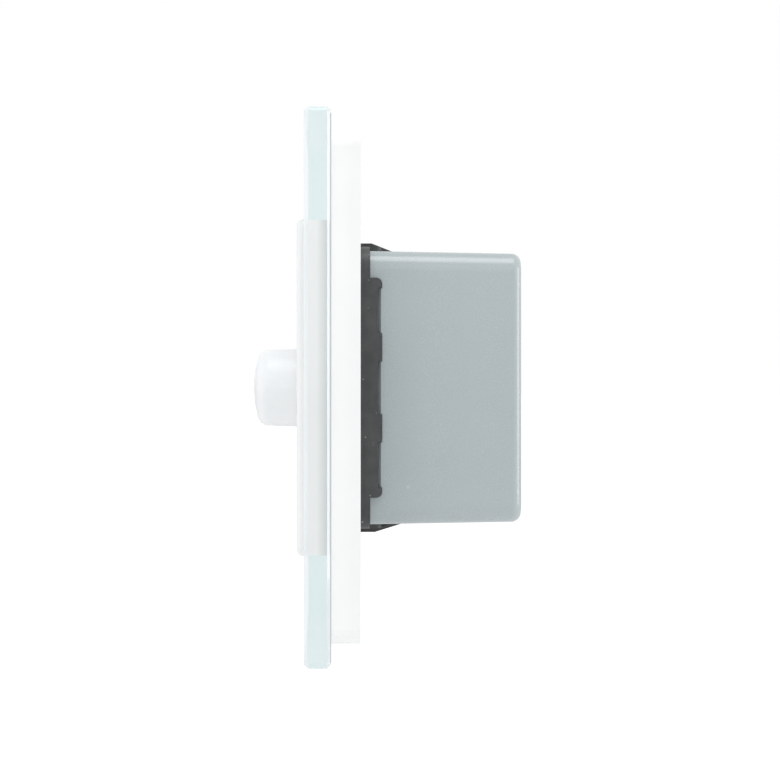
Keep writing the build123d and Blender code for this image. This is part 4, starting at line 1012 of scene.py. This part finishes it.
thread_tree = make_helix_tree("nickel_plate")
winding_tree = make_helix_tree("enamelled_copper")
print("steps in a turn:", STEPS_PER_TURN)

# %% [markdown]
# ## The terminal screws
#
# Each terminal screw is an M3 machine screw with a pitch of 0.5 mm, a flat head and a slot, reached
# by a screwdriver from below. The head and core are turned, the slot is cut from the head with a
# Boolean, as a saw cuts the real one, and the thread is the helix. Together they stand for the
# plain CAD screw and stay inside it.

# %% Terminal screws
THREAD_PITCH = 0.5
THREAD_CREST = 1.45
THREAD_CORE = 1.22
HEAD_CHAMFER = 0.3
HEAD_HEIGHT = 1.4
SLOT_WIDTH = 0.6
SLOT_DEPTH = 0.8


def make_screw_body(name, low, high, middle):
    """The head and core of a screw that stands on its head, with the slot cut."""
    head = (high.x - low.x) / 2
    tip = high.z - low.z
    profile = [(0, 0), (0, head - HEAD_CHAMFER), (HEAD_CHAMFER, head), (HEAD_HEIGHT, head),
               (HEAD_HEIGHT, THREAD_CORE), (tip - HEAD_CHAMFER, THREAD_CORE),
               (tip, THREAD_CORE - HEAD_CHAMFER), (tip, 0)]
    screw = finish_mesh(name, turn_mesh(profile, (middle.x, middle.y, low.z), "Z"), ["nickel_plate"])
    cutter_mesh = bmesh.new()
    bmesh.ops.create_cube(cutter_mesh, size=1.0)
    for corner in cutter_mesh.verts:
        corner.co.x = (middle.x + corner.co.x * 4 * head) * MM
        corner.co.y = (middle.y + corner.co.y * SLOT_WIDTH) * MM
        corner.co.z = (low.z + corner.co.z * 2 * SLOT_DEPTH) * MM
    cutter = finish_mesh(name + "_cutter", cutter_mesh, ["nickel_plate"])
    cut = screw.modifiers.new("slot", "BOOLEAN")
    cut.operation = "DIFFERENCE"
    cut.object = cutter
    keep_as_mesh(screw, cut)
    bpy.data.objects.remove(cutter)
    return screw


def make_terminal_screw(pole):
    """A slotted screw with its thread, in place of the CAD screw."""
    node = pole + "_terminal_screw"
    low, high, middle = box_mm(node)
    screw = make_screw_body(pole + "_slotted_screw", low, high, middle)
    length = high.z - low.z - HEAD_HEIGHT - 2 * THREAD_PITCH
    sizes = dict(HELIX_SIZES, Turns=length / THREAD_PITCH, Radius=THREAD_CORE * MM, Length=length * MM,
                 Section=(THREAD_CREST - THREAD_CORE) * MM)
    start = (middle.x, middle.y, low.z + HEAD_HEIGHT + THREAD_PITCH)
    thread = grow_piece(pole + "_screw_thread", thread_tree, sizes, [start])
    for piece in (screw, thread):
        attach(piece, pole + "_screw")
        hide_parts(node)
    return len(screw.data.polygons) + len(thread.data.polygons)


print("faces in each screw:", [make_terminal_screw(pole) for pole in poles])

# %% [markdown]
# ## The choke's winding
#
# The choke is a ferrite spool wound with enamelled copper wire, and it keeps switching noise off
# the mains. A striped drum could stand for the wire, but the glint on each turn comes from its
# round shape, so the helix winds it too. The wire lies turn against turn between the two flanges,
# so the pitch is the wire's own thickness.

# %% Choke winding
WIRE_RADIUS = 0.17
WIRE_SIDES = 8
CHOKE_FLANGE = 0.8
CHOKE_WINDING_DEPTH = 0.4


def make_choke_winding():
    """One layer of wire round the spool, along Y."""
    low, high, middle = box_mm("choke")
    length = high.y - low.y - 2 * (CHOKE_FLANGE + WIRE_RADIUS)
    spool_radius = (high.x - low.x) / 2 - CHOKE_WINDING_DEPTH
    sizes = dict(HELIX_SIZES, Turns=length / (2 * WIRE_RADIUS), Radius=(spool_radius + WIRE_RADIUS) * MM,
                 Length=length * MM, Section=WIRE_RADIUS * MM, Sides=WIRE_SIDES, Tilt=-math.pi / 2)
    start = (middle.x, low.y + CHOKE_FLANGE + WIRE_RADIUS, middle.z)
    return grow_piece("choke_winding", winding_tree, sizes, [start])


winding = make_choke_winding()
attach(winding, "module")
print("faces in the winding:", len(winding.data.polygons))

# %% [markdown]
# ## Solder joints
#
# Every lead that comes through a board ends in a small bright cone of solder, left when the board
# ran over molten tin. The places come from the CAD boxes: six header pins, three sensor leads and
# three contact pins, and the leads of the parts that stand on the power board. The cones could be
# made one by one, but one tree puts a cone on every point. Its tilt turns it to the side of the
# board that it sits on.

# %% Solder joints
SOLDER_SIZES = {"Foot": 0.75 * MM, "Tip": 0.34 * MM, "Height": 0.7 * MM, "Tilt": 0.0}
SOLDER_SIDES = 12
HEADER_PITCH = 2.54
HEADER_PINS = 6
SENSOR_LEAD_CIRCLE = 2.54
# Half the spread of each part's leads along X and Z, in mm.
LEAD_SPREADS = {"relay": (7.6, 5.5), "film_capacitor": (5.0, 0), "electrolytic_capacitor": (1.75, 0),
                "varistor": (0, 2.5), "choke": (1.5, 0), "bridge_rectifier": (2.6, 1.8)}


def make_solder_tree():
    """A tapered cone on each point, along Z before its tilt."""
    tree, size = start_shape_tree("solder_joints", SOLDER_SIZES)
    cone = add_node(tree, "GeometryNodeMeshCone",
                    {"Vertices": SOLDER_SIDES, "Side Segments": 2, "Radius Top": size["Tip"],
                     "Radius Bottom": size["Foot"], "Depth": size["Height"]})
    tilt = add_node(tree, "ShaderNodeCombineXYZ", {0: size["Tilt"]})
    end_shape_tree(tree, size["Points"], cone, "tin_solder", tilt)
    return tree


def power_board_places(level):
    """The contact bars, the header's pins and the leads of the parts on the power board."""
    bars = [box_mm(pole + "_contact_bar")[2] for pole in poles]
    places = [(bar.x, level, bar.z) for bar in bars]
    header = box_mm("board_header")[2]
    for k in range(HEADER_PINS):
        places.append((header.x + (k - (HEADER_PINS - 1) / 2) * HEADER_PITCH, level, header.z))
    for node, (spread_x, spread_z) in LEAD_SPREADS.items():
        x, _, z = box_mm(node)[2]
        places += sorted({(x + sx * spread_x, level, z + sz * spread_z) for sx in (-1, 1) for sz in (-1, 1)})
    return places


def sensor_lead_places(level):
    """The three leads of the infrared sensor."""
    angles = [math.radians(90 + 120 * k) for k in range(3)]
    return [(SENSOR_LEAD_CIRCLE * math.cos(a), level, SENSOR_LEAD_CIRCLE * math.sin(a)) for a in angles]


solder_tree = make_solder_tree()
front_points = power_board_places(box_mm("power_board")[0].y)
front_sizes = dict(SOLDER_SIZES, Tilt=math.pi / 2)
front_solder = grow_piece("power_board_solder", solder_tree, front_sizes, front_points)
rear_points = sensor_lead_places(box_mm("sensor_board")[1].y)
rear_sizes = dict(SOLDER_SIZES, Tilt=-math.pi / 2)
rear_solder = grow_piece("sensor_board_solder", solder_tree, rear_sizes, rear_points)
for solder in (front_solder, rear_solder):
    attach(solder, "module")
print("solder joints:", len(front_points), "and", len(rear_points))

# %% [markdown]
# ## Surface-mount parts
#
# Between the large parts a sensor board is covered with resistors and capacitors smaller than a
# grain of rice. Each is a small block with a metal cap at both ends. Two finishes need two pieces,
# so one tree makes the blocks and one the caps, on the same points. A random value with a fixed
# seed turns some of them by a quarter, the same ones in both.

# %% Surface-mount parts
CHIP_SIZES = {"Length": 1.6 * MM, "Width": 0.8 * MM, "Height": 0.45 * MM, "Cap": 0.3 * MM, "Seed": 7}
# Each row: its height on the board, and the places along it, in mm.
CHIP_ROWS = ((-11.0, (-18.0, -14.4, -10.8, -7.2, 7.2, 10.8, 14.4, 18.0)), (9.2, (-17.0, -13.4, 13.4, 17.0)),
             (13.0, (-17.0, -12.6, -8.2, 8.2, 12.6, 17.0)), (0.0, (-19.0, -15.4, 15.4, 19.0)))
CAP_SKIN = 0.02


def make_chip_tree(with_caps, finish):
    """Small blocks, or the caps on their ends, on each point."""
    tree, size = start_shape_tree("chips_of_" + finish, CHIP_SIZES)
    skin = CAP_SKIN * MM if with_caps else 0.0
    length = size["Cap"] if with_caps else size["Length"]
    height = add_node(tree, "ShaderNodeMath", {0: size["Height"], 1: skin}, operation="ADD")
    width = add_node(tree, "ShaderNodeMath", {0: size["Width"], 1: 2 * skin}, operation="ADD")
    extent = add_node(tree, "ShaderNodeCombineXYZ", {0: length, 1: height, 2: width})
    block = add_node(tree, "GeometryNodeMeshCube", {"Size": extent})
    sink = add_node(tree, "ShaderNodeMath", {0: height, 1: -0.5}, operation="MULTIPLY")
    joined = add_node(tree, "GeometryNodeJoinGeometry")
    for side in (-1, 1) if with_caps else (0,):
        end = add_node(tree, "ShaderNodeMath", {0: size["Length"], 1: side / 2}, operation="MULTIPLY")
        shift = add_node(tree, "ShaderNodeCombineXYZ", {0: end, 1: sink})
        moved = add_node(tree, "GeometryNodeTransform", {"Geometry": block, "Translation": shift})
        tree.links.new(moved.outputs[0], joined.inputs[0])
    chance = add_node(tree, "FunctionNodeRandomValue", {4: 0, 5: 1, "Seed": size["Seed"]}, data_type="INT")
    angle = add_node(tree, "ShaderNodeMath", {0: chance.outputs[2], 1: math.pi / 2}, operation="MULTIPLY")
    turn = add_node(tree, "ShaderNodeCombineXYZ", {1: angle})
    end_shape_tree(tree, size["Points"], joined, finish, turn)
    return tree


sensor_front = box_mm("sensor_board")[0].y
chip_points = [(x, sensor_front, z) for z, row in CHIP_ROWS for x in row]
blocks = grow_piece("surface_mount_blocks", make_chip_tree(False, "chip_epoxy"), CHIP_SIZES, chip_points)
caps = grow_piece("surface_mount_caps", make_chip_tree(True, "tin_solder"), CHIP_SIZES, chip_points)
for piece, slot in ((blocks, "black_polycarbonate"), (caps, "plated_steel")):
    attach(piece, "module")
print("surface-mount parts:", len(chip_points))

# %% [markdown]
# ## Caps, a dished top and a base
#
# Two nickel-plated caps are pressed over the ends of the fuse. The top of the electrolytic
# capacitor is bare aluminium inside the sleeve's edge, with a shallow dish. Bevelled cylinders
# could do for both, but a turned profile gives all their edges at once. The relay stands on a
# moulded base, which shows as a narrow rim round its foot: four rings of an oblong, joined.

# %% Fuse caps, capacitor top and relay base
FUSE_CAP_LENGTH = 1.5
FUSE_CAP_SKIN = 0.04
FUSE_TUBE_HALF = 3.7
FUSE_CAP_SEGMENTS = 32
# The rounded end of a fuse cap: back from its end, and in from its radius.
FUSE_CAP_ROUND = ((0.45, 0), (0.12, 0.2), (0, 0.5))
SLEEVE_TURN_IN = 0.9
FOIL_ROOT = 0.1
FOIL_RISE = 0.15
DISH_DEPTH = 0.1
DISH_EDGE = 0.3
DISH_FLOOR = 0.5
BASE_HEIGHT = 1.0
BASE_SKIN = 0.06
# The rounding of the base's corners, as a share of its half width.
BASE_CORNER_SHARE = 0.05


def make_fuse_cap(side):
    """A thin cap over one end of the fuse's tube."""
    low, high, middle = box_mm("fuse")
    radius = (high.z - low.z) / 2 + FUSE_CAP_SKIN
    outer = FUSE_TUBE_HALF + FUSE_CAP_SKIN
    inner = outer - FUSE_CAP_LENGTH
    profile = [(inner, 0), (inner, radius - 2 * FUSE_CAP_SKIN), (inner, radius)]
    profile += [(outer - back, radius - inward) for back, inward in FUSE_CAP_ROUND]
    profile.append((outer, 0))
    centre = (middle.x, high.y - radius + FUSE_CAP_SKIN, middle.z)
    mesh = turn_mesh([(side * along, r) for along, r in profile], centre, "X", FUSE_CAP_SEGMENTS)
    return finish_mesh("fuse_cap_" + ("left" if side < 0 else "right"), mesh, ["nickel_plate"])


def make_capacitor_top():
    """The dished aluminium top inside the sleeve."""
    low, high, middle = box_mm("electrolytic_capacitor")
    radius = (high.x - low.x) / 2 - SLEEVE_TURN_IN
    dish = FOIL_RISE - DISH_DEPTH
    profile = [(-FOIL_ROOT, 0), (-FOIL_ROOT, radius), (FOIL_RISE, radius), (FOIL_RISE, radius - DISH_EDGE),
               (dish, radius - DISH_FLOOR), (dish, 0)]
    mesh = turn_mesh(profile, (middle.x, high.y, middle.z), "Y")
    return finish_mesh("capacitor_top", mesh, ["rolled_aluminium"])


def make_relay_base():
    """A rim round the foot of the relay."""
    low, high, middle = box_mm("relay")
    top = low.y + BASE_HEIGHT
    rings = []
    for skin, level in ((-BASE_SKIN, low.y), (BASE_SKIN, low.y), (BASE_SKIN, top), (-BASE_SKIN, top)):
        half_x, half_z = (high.x - low.x) / 2 + skin, (high.z - low.z) / 2 + skin
        ring = rounded_square(1.0, BASE_CORNER_SHARE, level)
        rings.append([(middle.x + px * half_x, py, middle.z + pz * half_z) for px, py, pz in ring])
    return join_rings("relay_base", rings, [0, 0, 0, 0], ["pin_header_polyamide"])


details = {make_fuse_cap(-1): "plated_steel", make_fuse_cap(1): "plated_steel",
           make_capacitor_top(): "plated_steel", make_relay_base(): "trimmer_blue"}
for piece, slot in details.items():
    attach(piece, "module")
print("details:", [piece.name for piece in details])
